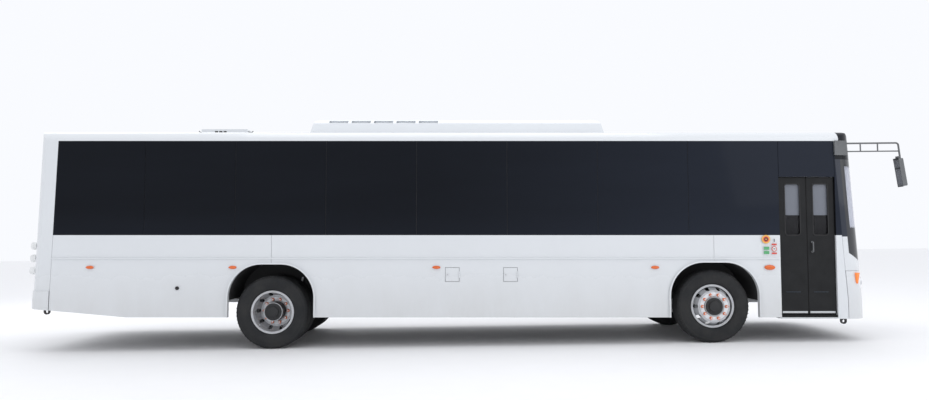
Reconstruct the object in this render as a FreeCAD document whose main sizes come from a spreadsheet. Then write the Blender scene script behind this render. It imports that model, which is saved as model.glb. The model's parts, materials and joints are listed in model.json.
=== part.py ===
"""A twelve-metre single-deck city bus, as an assembly of separate sub-parts.

Everything is drawn in the body's own level frame: X forward from the middle of the length, Y to the left,
Z up from the ground under the middle of the wheelbase. The bus stands a little nose-down, so each finished
sub-part is settled by one placement that turns the body frame onto the ground.
Lengths are in millimetres and angles in degrees.
"""

import FreeCAD, Part
import Sketcher
import math
import os
import re

V = FreeCAD.Vector
REACH = 8000  # runs a cutting shape well past the bus

# name, value, what it is
SIZES = (
    ("body_length", 11880, "over the bumpers"),
    ("body_width", 2500, "over the side skins"),
    ("roof_height", 3055, "crown of the roof"),
    ("roof_camber", 45, "rise of the roof crown over its shoulders"),
    ("roof_shoulder", 150, "radius between side and roof"),
    ("roof_front_radius", 430, "radius between windscreen header and roof"),
    ("roof_rear_radius", 120, "radius between rear wall and roof"),
    ("profile_ease", 1, "side view's ends outside the bowed ends"),
    ("wall", 60, "thickness of walls and roof, trim included"),
    ("wheelbase", 6200, "axle to axle"),
    ("rear_overhang", 3410, "rear bumper to rear axle"),
    ("rake", 0.8, "nose-down angle as the bus stands"),
    ("nose_knee", 650, "height where the nose starts to lean back"),
    ("nose_set_back", 45, "lean of the nose up to the windscreen foot"),
    ("windscreen_foot", 1300, "height where the windscreen's lean starts"),
    ("windscreen_lean", 3.7, "angle of the windscreen"),
    ("nose_bulge", 150, "bow of the nose in plan"),
    ("nose_corner", 300, "corner radius of the nose in plan"),
    ("tail_lean", 1.7, "angle of the rear wall"),
    ("tail_bulge", 40, "bow of the tail in plan"),
    ("tail_corner", 120, "corner radius of the tail in plan"),
    ("bumper_proud", 15, "rear bumper in front of the rear wall"),
    ("rear_bumper_top", 770, "top of the rear bumper"),
    ("rear_bumper_low", 534, "underside of the rear bumper"),
    ("skirt_low", 405, "underside of the side skirts"),
    ("departure_start", 1400, "length over which the rear skirt rises"),
    ("glass_low", 1550, "lower edge of the side glass"),
    ("glass_high", 2880, "upper edge of the side glass"),
    ("glass_thick", 8, "glass bonded outside the window frames"),
    ("nose_wrap", 408, "nose panels and windscreen past the corner"),
    ("tail_wrap", 300, "tail panels past the corner"),
    ("pane_count", 8, "panes in the side glass"),
    ("pane_joint", 6, "sealed joint between two panes"),
    ("post_width", 90, "window post"),
    ("rail_height", 70, "window rail, above and below the panes"),
    ("panel_joint", 4, "joint between two body panels"),
    ("arch_radius", 465, "rounding of a wheel arch"),
    ("rear_arch_width", 1204, "rear wheel arch"),
    ("rear_arch_high", 1144, "top of the rear wheel arch"),
    ("front_arch_width", 1240, "front wheel arch"),
    ("front_arch_high", 1170, "top of the front wheel arch"),
    ("liner_thick", 12, "wheel arch liner"),
    ("rear_liner_inside", 500, "inner side of the rear arch liner, from the middle"),
    ("front_liner_inside", 545, "inner side of the front arch liner, from the middle"),
    ("floor_top", 980, "cabin floor"),
    ("floor_thick", 40, "cabin floor board and its bearers"),
    ("podium_top", 1260, "raised floor over the engine"),
    ("podium_length", 1700, "raised floor, from the rear wall"),
    ("door_rear", 1341, "front of the bus to the rear edge of the door"),
    ("door_width", 788, "door opening"),
    ("door_low", 438, "bottom of the door opening"),
    ("door_high", 2372, "top of the door opening"),
    ("sill_low", 386, "underside of the door sill"),
    ("door_recess", 30, "door leaves behind the skin"),
    ("leaf_thick", 44, "door leaf"),
    ("leaf_gap", 7, "gap round a door leaf"),
    ("leaf_stile", 82, "door leaf's frame beside its window"),
    ("leaf_window_low", 1550, "bottom of the door windows"),
    ("leaf_window_high", 2274, "top of the door windows"),
    ("shaft_radius", 14, "door shaft"),
    ("shaft_clearance", 0.05, "play of a shaft in its bearing"),
    ("shaft_stand_off", 6, "door shaft from its leaf"),
    ("shaft_end", 1, "door shaft's foot above the well's floor"),
    ("shaft_bearing", 30, "length of a door shaft bearing"),
    ("step_depth", 260, "tread of an entrance step"),
    ("well_depth", 480, "from the skin to the first riser"),
    ("step_plate", 20, "entrance step plate"),
    ("tyre_radius", 510, "tyre, as it stands"),
    ("shoulder_drop", 28, "tyre's shoulder below its tread"),
    ("shoulder_width", 34, "tyre's tread edge from its side"),
    ("sidewall_slope", 8, "tyre's shoulder from its side"),
    ("tyre_width", 275, "tyre"),
    ("rim_radius", 286, "bead seat of the rim"),
    ("rim_flange", 303, "outer edge of the rim"),
    ("rim_width", 210, "rim between its flanges"),
    ("rim_metal", 12, "rim and disc metal"),
    ("disc_land", 57, "nut face past the nut circle"),
    ("front_face_proud", 25, "front nut face past the tyre's side"),
    ("seat_play", 0.3, "between a curved piece and its seat"),
    ("bead_play", 0.9, "tyre bead from the rim under it"),
    ("bore_radius", 140, "centre bore of the disc"),
    ("nut_circle", 167.5, "radius of the wheel nut circle"),
    ("tyre_facets", 48, "flat facets round a tyre"),
    ("tyre_face", 1180, "outer side of the outer tyres, from the middle"),
    ("twin_pitch", 320, "between the tyres of a twin wheel"),
    ("hand_hole", 27, "radius of a hand hole in the disc"),
    ("hand_holes", 10, "hand holes in a disc"),
    ("hub_radius", 130, "hub"),
    ("kingpin_offset", 935, "kingpin from the middle"),
    ("kingpin_radius", 25, "kingpin"),
    ("spindle_radius", 45, "wheel spindle"),
    ("drum_radius", 210, "brake drum"),
    ("rail_offset", 430, "chassis rail from the middle"),
    ("rail_width", 80, "chassis rail"),
    ("rail_low", 640, "underside of the chassis rails"),
    ("axle_radius", 76.5, "rear axle tube"),
    ("differential_radius", 189, "rear axle's differential"),
    ("beam_boss", 48, "front beam's boss round the kingpin"),
    ("yoke_half", 85.5, "half height of the knuckle's yoke"),
    ("yoke_play", 5, "knuckle's yoke and hub from the parts beside them"),
    ("yoke_web", 60, "knuckle's web from the kingpin"),
    ("spindle_reach", 225, "end of the front spindle from the kingpin"),
    ("drum_gap", 60, "rear drum from the arch liner's inner side"),
    ("spring_half", 620, "leaf spring, from the axle to its end"),
    ("engine_length", 1150, "engine"),
    ("engine_width", 860, "engine"),
    ("engine_low", 520, "underside of the engine"),
    ("engine_high", 1160, "top of the engine"),
    ("flap_side", 200, "square service flaps in the skirt"),
    ("flap_low", 900, "bottom of the service flaps"),
    ("flap_gap", 5, "gap round a flap or lid"),
    ("flap_thick", 20, "service flap"),
    ("pocket_depth", 150, "pocket behind a service flap, from the wall trim"),
    ("pocket_wall", 12, "wall of such a pocket"),
    ("fuel_flap_middle", 4, "middle of the fuel flap, from mid-length"),
    ("service_flap_middle", 818, "middle of the service flap, from mid-length"),
    ("engine_flap_half", 860, "half width of the engine flap"),
    ("engine_flap_low", 800, "bottom of the engine flap"),
    ("engine_flap_high", 1480, "top of the engine flap"),
    ("rear_glass_half", 960, "half width of the rear window"),
    ("rear_glass_low", 1680, "bottom of the rear window"),
    ("rear_glass_high", 2640, "top of the rear window"),
    ("slot_half", 620, "half width of the engine flap's air slots"),
    ("slot_inset", 90, "middle of the lowest air slot, from the flap's bottom edge"),
    ("slot_pitch", 62, "between air slots"),
    ("slot_high", 30, "air slot"),
    ("slot_depth", 22, "air slot"),
    ("glass_seat", 40, "wall behind the edge of a bonded window"),
    ("pin_radius", 4, "hinge pin of a flap or lid"),
    ("barrel_radius", 8, "hinge barrel of a flap or lid"),
    ("barrel_length", 30, "one knuckle of a hinge"),
    ("barrel_play", 0.5, "hinge barrel from the skin, and between knuckles"),
    ("hinge_packing", 1.5, "engine flap's hinge off the bowed rear wall"),
    ("screen_low", 1150, "lower edge of the windscreen at the middle"),
    ("screen_corner_low", 1340, "lower edge of the windscreen at the corner"),
    ("screen_corner_run", 320, "length of the rise to the corner"),
    ("screen_high", 2620, "top of the windscreen"),
    ("post_inside", 1085, "inner edge of the windscreen posts"),
    ("front_bumper_top", 1050, "top of the front bumper"),
    ("lamp_inside", 760, "inner end of a headlamp"),
    ("lamp_outside", 1170, "outer end of a headlamp"),
    ("lamp_low", 790, "bottom of a headlamp"),
    ("lamp_high", 1000, "top of a headlamp"),
    ("tail_lamp_radius", 52, "round tail lamp"),
    ("tail_lamp_proud", 45, "round tail lamp past the rear wall"),
    ("tail_lamp_offset", 1120, "round tail lamps from the middle"),
    ("tail_lamp_low", 1050, "lowest tail lamp"),
    ("tail_lamp_pitch", 175, "between tail lamps"),
    ("cooler_rear", -2090, "rear end of the roof unit, from mid-length"),
    ("cooler_length", 4325, "roof unit"),
    ("cooler_half", 900, "half width of the roof unit at its foot"),
    ("cooler_high", 3262, "top of the roof unit"),
    ("cooler_slope", 150, "slope of the roof unit's ends and sides"),
    ("louvre_inset", 420, "middle of the first louvre, from the roof unit's rear end"),
    ("louvre_pitch", 330, "between louvres of the roof unit"),
    ("louvre_bar", 50, "bar between two louvres"),
    ("louvre_low", 70, "lower edge of the louvres, from the top of the roof unit"),
    ("louvre_top", 22, "upper edge of the louvres, from the top of the roof unit"),
    ("hatch_rear", -3845, "rear edge of the roof hatch, from mid-length"),
    ("hatch_length", 700, "roof hatch"),
    ("hatch_half", 400, "half width of the roof hatch"),
    ("hatch_high", 3180, "top of the roof hatch"),
    ("curb_high", 3120, "top of the hatch's curb"),
    ("curb_thick", 30, "hatch curb"),
    ("seat_pitch", 750, "between rows of seats"),
    ("seat_width", 440, "one seat"),
    ("seat_depth", 440, "seat cushion"),
    ("seat_height", 430, "cushion top over the floor"),
    ("seat_back", 640, "seat back over the cushion"),
    ("seat_pad", 80, "cushion and back"),
    ("seat_wall_gap", 40, "seats from the wall trim"),
    ("seat_leg", 60, "seat pedestal"),
    ("steer_wheel_radius", 230, "steering wheel"),
    ("steer_wheel_rise", 60, "steering wheel's boss above the side glass's lower edge"),
    ("desk_depth", 580, "dashboard's rear edge, from the nose"),
    ("steer_rim_radius", 14, "steering wheel rim"),
    ("driver_offset", 760, "driver's seat from the middle"),
    ("arm_radius", 12, "mirror arm tube"),
    ("rung_radius", 9, "mirror arm's lower tube and rungs"),
    ("arm_spacing", 115, "between the mirror arm's tubes"),
    ("arm_height", 2845, "upper tube of the mirror arm"),
    ("arm_reach", 327, "mirror arm past the front bumper"),
    ("arm_root", 250, "mirror arm's root behind the windscreen"),
    ("arm_spread", 50, "mirror arm's tip outside the body side"),
    ("bracket_length", 170, "mirror bracket"),
    ("bracket_width", 60, "mirror bracket"),
    ("bracket_edge", 90, "mirror bracket's height past the arm's tubes"),
    ("mirror_lean", 8, "angle of a mirror head"),
    ("mirror_width", 130, "mirror head"),
    ("mirror_height", 390, "mirror head"),
    ("mirror_depth", 62, "mirror head"),
    ("eye_radius", 22, "bore of a towing eye"),
    ("eye_outer", 42, "outside of a towing eye"),
    ("eye_thick", 30, "towing eye plate"),
    ("front_eye_drop", 45, "front towing eye's bore below the bumper"),
    ("rear_eye_drop", 62, "rear towing eye's bore below the bumper"),
    ("eye_offset", 1100, "towing eyes from the middle"),
    ("eye_inset", 211, "rear towing eyes from the rear bumper"),
    ("front_eye_inset", 406, "front towing eyes from the front bumper"),
)

doc = FreeCAD.newDocument("CityBus")
sheet = doc.addObject("Spreadsheet::Sheet", "Sizes")
for line, (alias, value, note) in enumerate(SIZES, start=1):
    sheet.set(f"A{line}", note)
    sheet.set(f"B{line}", str(value))
    sheet.setAlias(f"B{line}", alias)
doc.recompute()
ALIASES = {alias for alias, value, note in SIZES}


# ---- formulas over the sheet ----
def formula(text):
    """The text with each size's name pointed at its cell."""
    text = str(text)
    return re.sub(r"[a-z_]+", lambda m: "Sizes." + m[0] if m[0] in ALIASES else m[0], text)


def size(text):
    """The number that a formula over the sizes gives now."""
    return float(sheet.evalExpression(formula(text)))


def both(text):
    """A span from minus to plus the formula."""
    return f"-({text})", text


def centred(middle, width):
    """A span of the width about its middle."""
    return f"{middle} - ({width}) / 2", f"{middle} + ({width}) / 2"


NOSE = "(body_length / 2)"
TAIL = "(-body_length / 2)"
SIDE = "(body_width / 2)"
REAR_AXLE = "(rear_overhang - body_length / 2)"
FRONT_AXLE = "(rear_overhang + wheelbase - body_length / 2)"
REAR_HUB = "((tyre_radius - wheelbase / 2 * sin(rake)) / cos(rake))"
FRONT_HUB = "((tyre_radius + wheelbase / 2 * sin(rake)) / cos(rake))"
DOOR_REAR = "(body_length / 2 - door_rear)"
DOOR_FRONT = "(body_length / 2 - door_rear + door_width)"
TYRE_Y = "(tyre_face - tyre_width / 2)"
INSIDE = "(body_width / 2 - wall)"
BAND_POST = "(post_width / 2)"


def nose_x(height):
    """Where the leaning front is at a height above the windscreen's foot, on the middle line."""
    return f"(body_length / 2 - nose_set_back - (({height}) - windscreen_foot) * tan(windscreen_lean))"


def tail_x(height):
    """Where the leaning rear wall is at a height, on the middle line."""
    return f"(-body_length / 2 + bumper_proud + (({height}) - nose_knee) * tan(tail_lean))"


# ---- shapes bound to the sheet ----
def bind(thing, **properties):
    """Binds properties, dots written as two underscores, to formulas."""
    for name, text in properties.items():
        thing.setExpression(name.replace("__", "."), formula(text))
    return thing


def box(name, x, y, z):
    """A block over three spans."""
    block = doc.addObject("Part::Box", name)
    spans = {"Length": x, "Width": y, "Height": z}
    for letter, (side, (low, high)) in zip("xyz", spans.items()):
        bind(block, **{side: f"({high}) - ({low})", f"Placement__Base__{letter}": low})
    return block


AXES = {"x": (V(0, 1, 0), 90), "y": (V(1, 0, 0), -90), "z": (V(0, 0, 1), 0)}


def rod(name, axis, radius, span, across):
    """A round bar along an axis over a span, at two places across it in the order x, y, z."""
    bar = doc.addObject("Part::Cylinder", name)
    bar.Placement.Rotation = FreeCAD.Rotation(*AXES[axis])
    bind(bar, Radius=radius, Height=f"({span[1]}) - ({span[0]})")
    places = dict(zip([letter for letter in "xyz" if letter != axis], across))
    places[axis] = span[0]
    for letter, place in places.items():
        bind(bar, **{f"Placement__Base__{letter}": place})
    return bar


def cut(name, base, *tools):
    """The base less the tools."""
    for count, tool in enumerate(tools, start=1):
        step = doc.addObject("Part::Cut", name if count == len(tools) else f"{name}Cut{count}")
        step.Base = base
        step.Tool = tool
        base = step
    return base


def fuse(name, *pieces):
    """The pieces joined."""
    joined = doc.addObject("Part::MultiFuse", name)
    joined.Shapes = list(pieces)
    joined.Refine = True
    return joined


def group(name, *pieces):
    """The pieces kept apart in one shape."""
    held = doc.addObject("Part::Compound", name)
    held.Links = list(pieces)
    return held


def common(name, base, tool):
    """What the two share."""
    shared = doc.addObject("Part::Common", name)
    shared.Base = base
    shared.Tool = tool
    return shared


def fixed(name, shape):
    """A shape made with Part's own functions from the sheet's sizes."""
    thing = doc.addObject("Part::Feature", name)
    thing.Shape = shape
    return thing


def outline(name, points):
    """A closed sketch of straight lines, each corner's two places bound to formulas."""
    sketch = doc.addObject("Sketcher::SketchObject", name)
    corners = [V(size(a), size(b), 0) for a, b in points]
    for start, end in zip(corners, corners[1:] + corners[:1]):
        sketch.addGeometry(Part.LineSegment(start, end), False)
    for number, (a, b) in enumerate(points):
        following = (number + 1) % len(points)
        sketch.addConstraint(Sketcher.Constraint("Coincident", number, 2, following, 1))
        for kind, text in (("DistanceX", a), ("DistanceY", b)):
            mark = sketch.addConstraint(Sketcher.Constraint(kind, -1, 1, number, 1, size(text)))
            sketch.setExpression(f"Constraints[{mark}]", formula(text))
    return sketch


def side_prism(name, points, y):
    """An outline in X and Z, drawn out over a span of Y."""
    sketch = outline(name + "Outline", points)
    sketch.Placement.Rotation = FreeCAD.Rotation(V(1, 0, 0), 90)
    bind(sketch, Placement__Base__y=y[0])
    return drawn_out(name, sketch, V(0, 1, 0), f"({y[1]}) - ({y[0]})")


def end_prism(name, points, x):
    """An outline in Y and Z, drawn out over a span of X."""
    sketch = outline(name + "Outline", points)
    sketch.Placement.Rotation = FreeCAD.Rotation(V(1, 1, 1), 120)
    bind(sketch, Placement__Base__x=x[0])
    return drawn_out(name, sketch, V(1, 0, 0), f"({x[1]}) - ({x[0]})")


def drawn_out(name, sketch, direction, length):
    """A solid drawn out from a sketch."""
    solid = doc.addObject("Part::Extrusion", name)
    solid.Base = sketch
    solid.DirMode = "Custom"
    solid.Dir = direction
    solid.Solid = True
    return bind(solid, LengthFwd=length)


def turned(name, points, hub):
    """An outline of radius and Y place, turned about the Y line through the hub's x and z."""
    sketch = outline(name + "Outline", points)
    ring = doc.addObject("Part::Revolution", name)
    ring.Source = sketch
    ring.Axis = V(0, 1, 0)
    ring.Angle = 360
    ring.Solid = True
    return bind(ring, Placement__Base__x=hub[0], Placement__Base__z=hub[1])


def bent_tube(points, radius, bend):
    """A round tube through points, its corners rounded by tangent arcs."""
    edges = []
    start = points[0]
    for before, corner, after in zip(points, points[1:], points[2:]):
        arriving = (corner - before).normalize()
        leaving = (after - corner).normalize()
        turn = arriving.getAngle(leaving)
        trim = bend * math.tan(turn / 2)
        arc_start = corner - arriving * trim
        arc_end = corner + leaving * trim
        inward = (leaving - arriving).normalize()
        arc_middle = corner + inward * (bend / math.cos(turn / 2) - bend)
        edges.append(Part.LineSegment(start, arc_start).toShape())
        edges.append(Part.Arc(arc_start, arc_middle, arc_end).toShape())
        start = arc_end
    edges.append(Part.LineSegment(start, points[-1]).toShape())
    path = Part.Wire(edges)
    section = Part.Wire(Part.makeCircle(radius, points[0], points[1] - points[0]))
    return path.makePipeShell([section], True, False)


# ---- the hull: the bus's outer form, and the same form inset ----
def bowed_end(tip, half_width, bow, corner, inset):
    """Three points of a bowed end: on the side, in the corner arc, and where the bow starts."""
    radius = (half_width ** 2 + bow ** 2) / (2 * bow)
    centre = tip - radius
    reach = math.sqrt((radius - corner) ** 2 - (half_width - corner) ** 2)
    angle = math.atan2(half_width - corner, reach)
    middle = (angle + math.pi / 2) / 2
    arc = corner - inset
    return (
        (centre + reach, half_width - inset),
        (centre + reach + arc * math.cos(middle), half_width - corner + arc * math.sin(middle)),
        (centre + (radius - inset) * math.cos(angle), (radius - inset) * math.sin(angle)),
    )


def bowed_edges(end, tip, flip, place):
    """The side corner, the bow and the far corner of a bowed end, as edges."""
    side, middle, start = [(flip * along, across) for along, across in end]
    left = [place(along, across) for along, across in (side, middle, start)]
    right = [place(along, -across) for along, across in (start, middle, side)]
    bow = Part.Arc(left[2], place(flip * tip, 0), right[0])
    return [Part.Arc(*left).toShape(), bow.toShape(), Part.Arc(*right).toShape()], left[0], right[2]


def plan_wire(height, nose_tip, tail_tip, inset):
    """The hull's outline at a height: bowed nose and tail, and straight sides."""
    def place(along, across):
        return V(along, across, height)

    half = size(SIDE)
    nose = bowed_end(nose_tip, half, size("nose_bulge"), size("nose_corner"), inset)
    tail = bowed_end(-tail_tip, half, size("tail_bulge"), size("tail_corner"), inset)
    front, front_left, front_right = bowed_edges(nose, nose_tip - inset, 1, place)
    rear, rear_left, rear_right = bowed_edges(tail, -tail_tip - inset, -1, place)
    left = Part.LineSegment(rear_left, front_left).toShape()
    right = Part.LineSegment(front_right, rear_right).toShape()
    return Part.Wire([left] + front + [right] + [edge.reversed() for edge in reversed(rear)])


def roof_wire(inset):
    """The hull's cross-section: straight sides, round shoulders and a cambered roof."""
    def place(along, across):
        return V(-REACH, across, along)

    shoulder = size("roof_shoulder")
    top = bowed_end(size("roof_height"), size(SIDE), size("roof_camber"), shoulder, inset)
    crown, left, right = bowed_edges(top, size("roof_height") - inset, 1, place)
    foot = [V(-REACH, side.y, -REACH) for side in (right, left)]
    corners = [right] + foot + [left]
    lines = [Part.LineSegment(a, b).toShape() for a, b in zip(corners, corners[1:])]
    return Part.Wire(crown + lines)


def profile_solid(inset):
    """The hull's side view, its two roof corners rounded, drawn out across the bus.

    Its ends lie a little outside the bowed ends, so that no plane of it only touches them.
    """
    top = size("roof_height") - inset
    ease = size("profile_ease") - inset
    low, knee, foot = (size(name) for name in ("-wheelbase", "nose_knee", "windscreen_foot"))
    points = (
        (size(TAIL) - size("body_length"), low),
        (size(tail_x("nose_knee")) - ease - size("body_length"), knee),
        (size(tail_x("nose_knee")) - ease, knee),
        (size(tail_x("roof_height")) - ease, top),
        (size(nose_x("roof_height")) + ease, top),
        (size(nose_x("windscreen_foot")) + ease, foot),
        (size(NOSE) + size("body_length"), foot),
        (size(NOSE) + size("body_length"), low),
    )
    face = Part.Face(Part.makePolygon([V(x, -REACH, z) for x, z in points + points[:1]]))
    solid = face.extrude(V(0, 2 * REACH, 0))
    for place, radius in ((points[3], "roof_rear_radius"), (points[4], "roof_front_radius")):
        corner = [
            edge for edge in solid.Edges
            if all(abs(v.X - place[0]) < 1 and abs(v.Z - place[1]) < 1 for v in edge.Vertexes)
        ]
        solid = solid.makeFillet(size(radius) - inset, corner)
    return solid


def hull(inset):
    """The bus's outer form, moved inwards by the inset; it runs down through the ground."""
    levels = (
        # height, nose tip, tail tip
        (size("-wheelbase"), size(NOSE), size(tail_x("nose_knee"))),
        (size("nose_knee"), size(NOSE), size(tail_x("nose_knee"))),
        (size("windscreen_foot"), size(nose_x("windscreen_foot")), size(tail_x("windscreen_foot"))),
        (size("roof_height + wall"), size(nose_x("roof_height + wall")), size(tail_x("roof_height + wall"))),
    )
    wires = [plan_wire(height, nose, tail, inset) for height, nose, tail in levels]
    plan = Part.makeLoft(wires, True, True)
    section = Part.Face(roof_wire(inset)).extrude(V(2 * REACH, 0, 0))
    return plan.common(section).common(profile_solid(inset))


outer = fixed("HullOuter", hull(0))
behind_glass = fixed("HullBehindGlass", hull(size("glass_thick")))
inner = fixed("HullInner", hull(size("wall")))
shell = cut("HullShell", outer, inner)
glass_skin = cut("GlassSkin", outer, behind_glass)
frame_skin = cut("FrameSkin", behind_glass, inner)


# ---- zones that cut the shell into its panels ----
def arch(name, axle, width, high, y):
    """A wheel arch's opening: upright sides, two large roundings and a short flat top."""
    low, top = centred(axle, width)
    walls = box(name + "Walls", (low, top), y, ("-tyre_radius", f"{high} - arch_radius"))
    crown = box(name + "Crown", (f"{low} + arch_radius", f"{top} - arch_radius"), y, ("-tyre_radius", high))
    across = f"{high} - arch_radius"
    rounds = [
        rod(name + end, "y", "arch_radius", y, (place, across))
        for end, place in (("Rear", f"{low} + arch_radius"), ("Front", f"{top} - arch_radius"))
    ]
    return fuse(name, walls, crown, *rounds)


def nose_zone(name, shift="0"):
    """Everything in front of the seam round the nose."""
    seam = f"- nose_wrap + {shift}"
    return side_prism(name, (
        (f"{NOSE} {seam}", "-wheelbase"),
        (f"{NOSE} + body_length", "-wheelbase"),
        (f"{NOSE} + body_length", "2 * roof_height"),
        (f"{nose_x('2 * roof_height')} {seam}", "2 * roof_height"),
        (f"{nose_x('windscreen_foot')} {seam}", "windscreen_foot"),
        (f"{NOSE} {seam}", "nose_knee"),
    ), both("body_width"))


def tail_zone(name, shift="0"):
    """Everything behind the seam round the tail."""
    seam = f"+ tail_wrap - {shift}"
    return side_prism(name, (
        (f"{TAIL} - body_length", "-wheelbase"),
        (f"{tail_x('nose_knee')} {seam}", "-wheelbase"),
        (f"{tail_x('nose_knee')} {seam}", "nose_knee"),
        (f"{tail_x('2 * roof_height')} {seam}", "2 * roof_height"),
        (f"{TAIL} - body_length", "2 * roof_height"),
    ), both("body_width"))


def screen_zone(name):
    """Everything above the windscreen's lower edge, which rises towards the corners."""
    rise = nose_x("screen_low")
    return side_prism(name, (
        (f"{rise} - 2 * screen_corner_run", "screen_corner_low"),
        (f"{rise} - nose_wrap", "screen_corner_low"),
        (f"{rise} - nose_wrap + screen_corner_run", "screen_low"),
        (f"{NOSE} + wall", "screen_low"),
        (f"{NOSE} + wall", "screen_high"),
        (f"{rise} - 2 * screen_corner_run", "screen_high"),
    ), both("body_width"))


def departure_zone(name):
    """What is cut away under the tail, so that the skirt rises to the rear bumper."""
    return side_prism(name, (
        (f"{TAIL} - wall", "-tyre_radius"),
        (f"{TAIL} + departure_start", "-tyre_radius"),
        (f"{TAIL} + departure_start", "skirt_low"),
        (f"{TAIL} - wall", "rear_bumper_low"),
    ), both("body_width"))


RIGHT = ("-body_width", "-body_width / 4")
LEFT = ("body_width / 4", "body_width")
WHOLE = ("-body_width", "body_width")
LENGTH = ("-body_length", "body_length")
SKIRT = ("skirt_low", "glass_low")
BAND = ("glass_low", "glass_high")
REAR_ARCH = (REAR_AXLE, "rear_arch_width", "rear_arch_high")
FRONT_ARCH = (FRONT_AXLE, "front_arch_width", "front_arch_high")
FLAPS = (
    # name, middle
    ("fuel_flap", "fuel_flap_middle"),
    ("service_flap", "service_flap_middle"),
)


def seam_cut(name, place, y):
    """A thin upright joint between two panels."""
    return box(name, centred(place, "panel_joint"), y, ("-tyre_radius", "roof_height"))


# ---- body panels ----
def lower_panels(side, y, front_tools):
    """The skirt of one side, in three panels that part over the wheels."""
    band = common(side + "SkirtBand", shell, box(side + "SkirtBox", LENGTH, y, SKIRT))
    tools = [tail_zone(side + "SkirtTail", "(-panel_joint)"), departure_zone(side + "SkirtRise")]
    for label, (axle, width, high) in (("Rear", REAR_ARCH), ("Front", FRONT_ARCH)):
        tools.append(arch(side + label + "Arch", axle, width, high, y))
        tools.append(seam_cut(side + label + "Joint", axle, y))
    return cut(side + "Panels", band, *tools, *front_tools)


def flap_holes():
    """The square openings of the service flaps."""
    for name, middle in FLAPS:
        yield box(name + "Hole", centred(middle, "flap_side"), RIGHT, ("flap_low", "flap_low + flap_side"))


def right_side_panels():
    door = box("DoorSideCut", (DOOR_REAR, "body_length"), RIGHT, ("-tyre_radius", "roof_height"))
    skirt = lower_panels("right", RIGHT, [door] + list(flap_holes()))
    ears, bores = [], []
    for name, middle in FLAPS:
        lugs, flap_ears, flap_bores = service_flap_hinge(name + "Frame", middle)
        ears += flap_ears
        bores += flap_bores
    return cut("RightSkirt", fuse("RightSkirtEars", skirt, *ears), *bores)


def left_side_panels():
    return lower_panels("left", LEFT, [nose_zone("leftSkirtNose", "(-panel_joint)")])


def pane_places():
    """The joints between the panes, evenly spaced from the tail seam to the door or the nose seam."""
    rear = f"({tail_x('glass_low')} + tail_wrap)"
    panes = int(size("pane_count"))
    return [f"({rear} + ({DOOR_REAR} - {rear}) * {number} / pane_count)" for number in range(panes + 1)]


def side_glass(side, y):
    """The row of dark panes, flush with the skin."""
    band = common(side + "GlassBand", glass_skin, box(side + "GlassBox", LENGTH, y, BAND))
    tools = [tail_zone(side + "GlassTail"), nose_zone(side + "GlassNose")]
    for number, place in enumerate(pane_places()[1:]):
        tools.append(box(f"{side}PaneJoint{number}", centred(place, "pane_joint"), y, BAND))
    if side == "right":
        front = box("DoorPaneJoint", centred(DOOR_FRONT, "pane_joint"), y, BAND)
        tools += [front, door_hole("DoorGlassHole")]
    return cut(side + "Glass", band, *tools)


def door_hole(name):
    return box(name, (DOOR_REAR, DOOR_FRONT), RIGHT, ("door_low", "door_high"))


def window_holes(side, y):
    """The openings between the posts, behind the panes."""
    places = pane_places()
    height = ("glass_low + rail_height", "glass_high - rail_height")
    for number, (rear, front) in enumerate(zip(places, places[1:])):
        span = (f"{rear} + {BAND_POST}", f"{front} - {BAND_POST}")
        yield box(f"{side}Window{number}", span, y, height)


def window_frame(side, y, front_tools):
    """The posts and rails that carry the panes of one side."""
    band = common(side + "FrameBand", frame_skin, box(side + "FrameBox", LENGTH, y, BAND))
    tail = tail_zone(side + "FrameTail")
    return cut(side + "WindowFrame", band, tail, *window_holes(side, y), *front_tools)


def right_window_frame():
    front = box("rightFrameFront", (f"{DOOR_REAR} - {BAND_POST}", "body_length"), RIGHT, BAND)
    return window_frame("right", RIGHT, [front])


def left_window_frame():
    places = (f"{DOOR_REAR} + {BAND_POST}", f"{NOSE} - nose_wrap - post_width - rail_height")
    driver = box("driverWindow", places, LEFT, ("glass_low + rail_height", "glass_high - rail_height"))
    return window_frame("left", LEFT, [nose_zone("leftFrameNose"), driver])


def door_frame():
    """The jambs, header and sill round the door, with the bearings of the two leaves' shafts."""
    nose = nose_zone("doorFrameNose", "(-panel_joint)")
    high = box("DoorFrameHighBox", (f"{DOOR_REAR} - {BAND_POST}", NOSE), RIGHT, BAND)
    low = box("DoorFrameLowBox", (DOOR_REAR, NOSE), RIGHT, ("sill_low", "glass_low"))
    jambs = fuse("DoorJambs", common("DoorJambHigh", frame_skin, high), common("DoorJambLow", shell, low))
    frame = cut("DoorFrameCut", jambs, nose, door_hole("DoorHole"))
    bearings = []
    for number, (place, inward) in enumerate(leaf_shafts()):
        for height in (("door_low - shaft_bearing", "door_low"), ("door_high", "door_high + shaft_bearing")):
            name = f"DoorBearing{number}{height[1].split()[0]}"
            span = (f"{place} - 2 * shaft_radius", f"{place} + 2 * shaft_radius")
            bearings.append(box(name, span, (f"-{INSIDE}", f"{SHAFT_Y} + 2 * shaft_radius"), height))
    held = fuse("DoorFrameFuse", frame, *bearings)
    bores = [
        rod(f"DoorBore{number}", "z", "shaft_radius + shaft_clearance", ("0", "roof_height"), (place, SHAFT_Y))
        for number, (place, inward) in enumerate(leaf_shafts())
    ]
    return cut("DoorFrame", held, *bores)


# ---- entrance door ----
LEAF_FACE = "(-body_width / 2 + door_recess)"
SHAFT_Y = f"({LEAF_FACE} + leaf_thick + shaft_radius + shaft_stand_off)"


def leaf_shafts():
    """Each leaf's shaft: its place along the bus, and which way the leaf runs from it."""
    inset = "(leaf_gap + 1.5 * shaft_radius)"
    return (f"({DOOR_REAR} + {inset})", "1"), (f"({DOOR_FRONT} - {inset})", "-1")


LEAF_WINDOW = ("leaf_window_low", "leaf_window_high")


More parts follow.
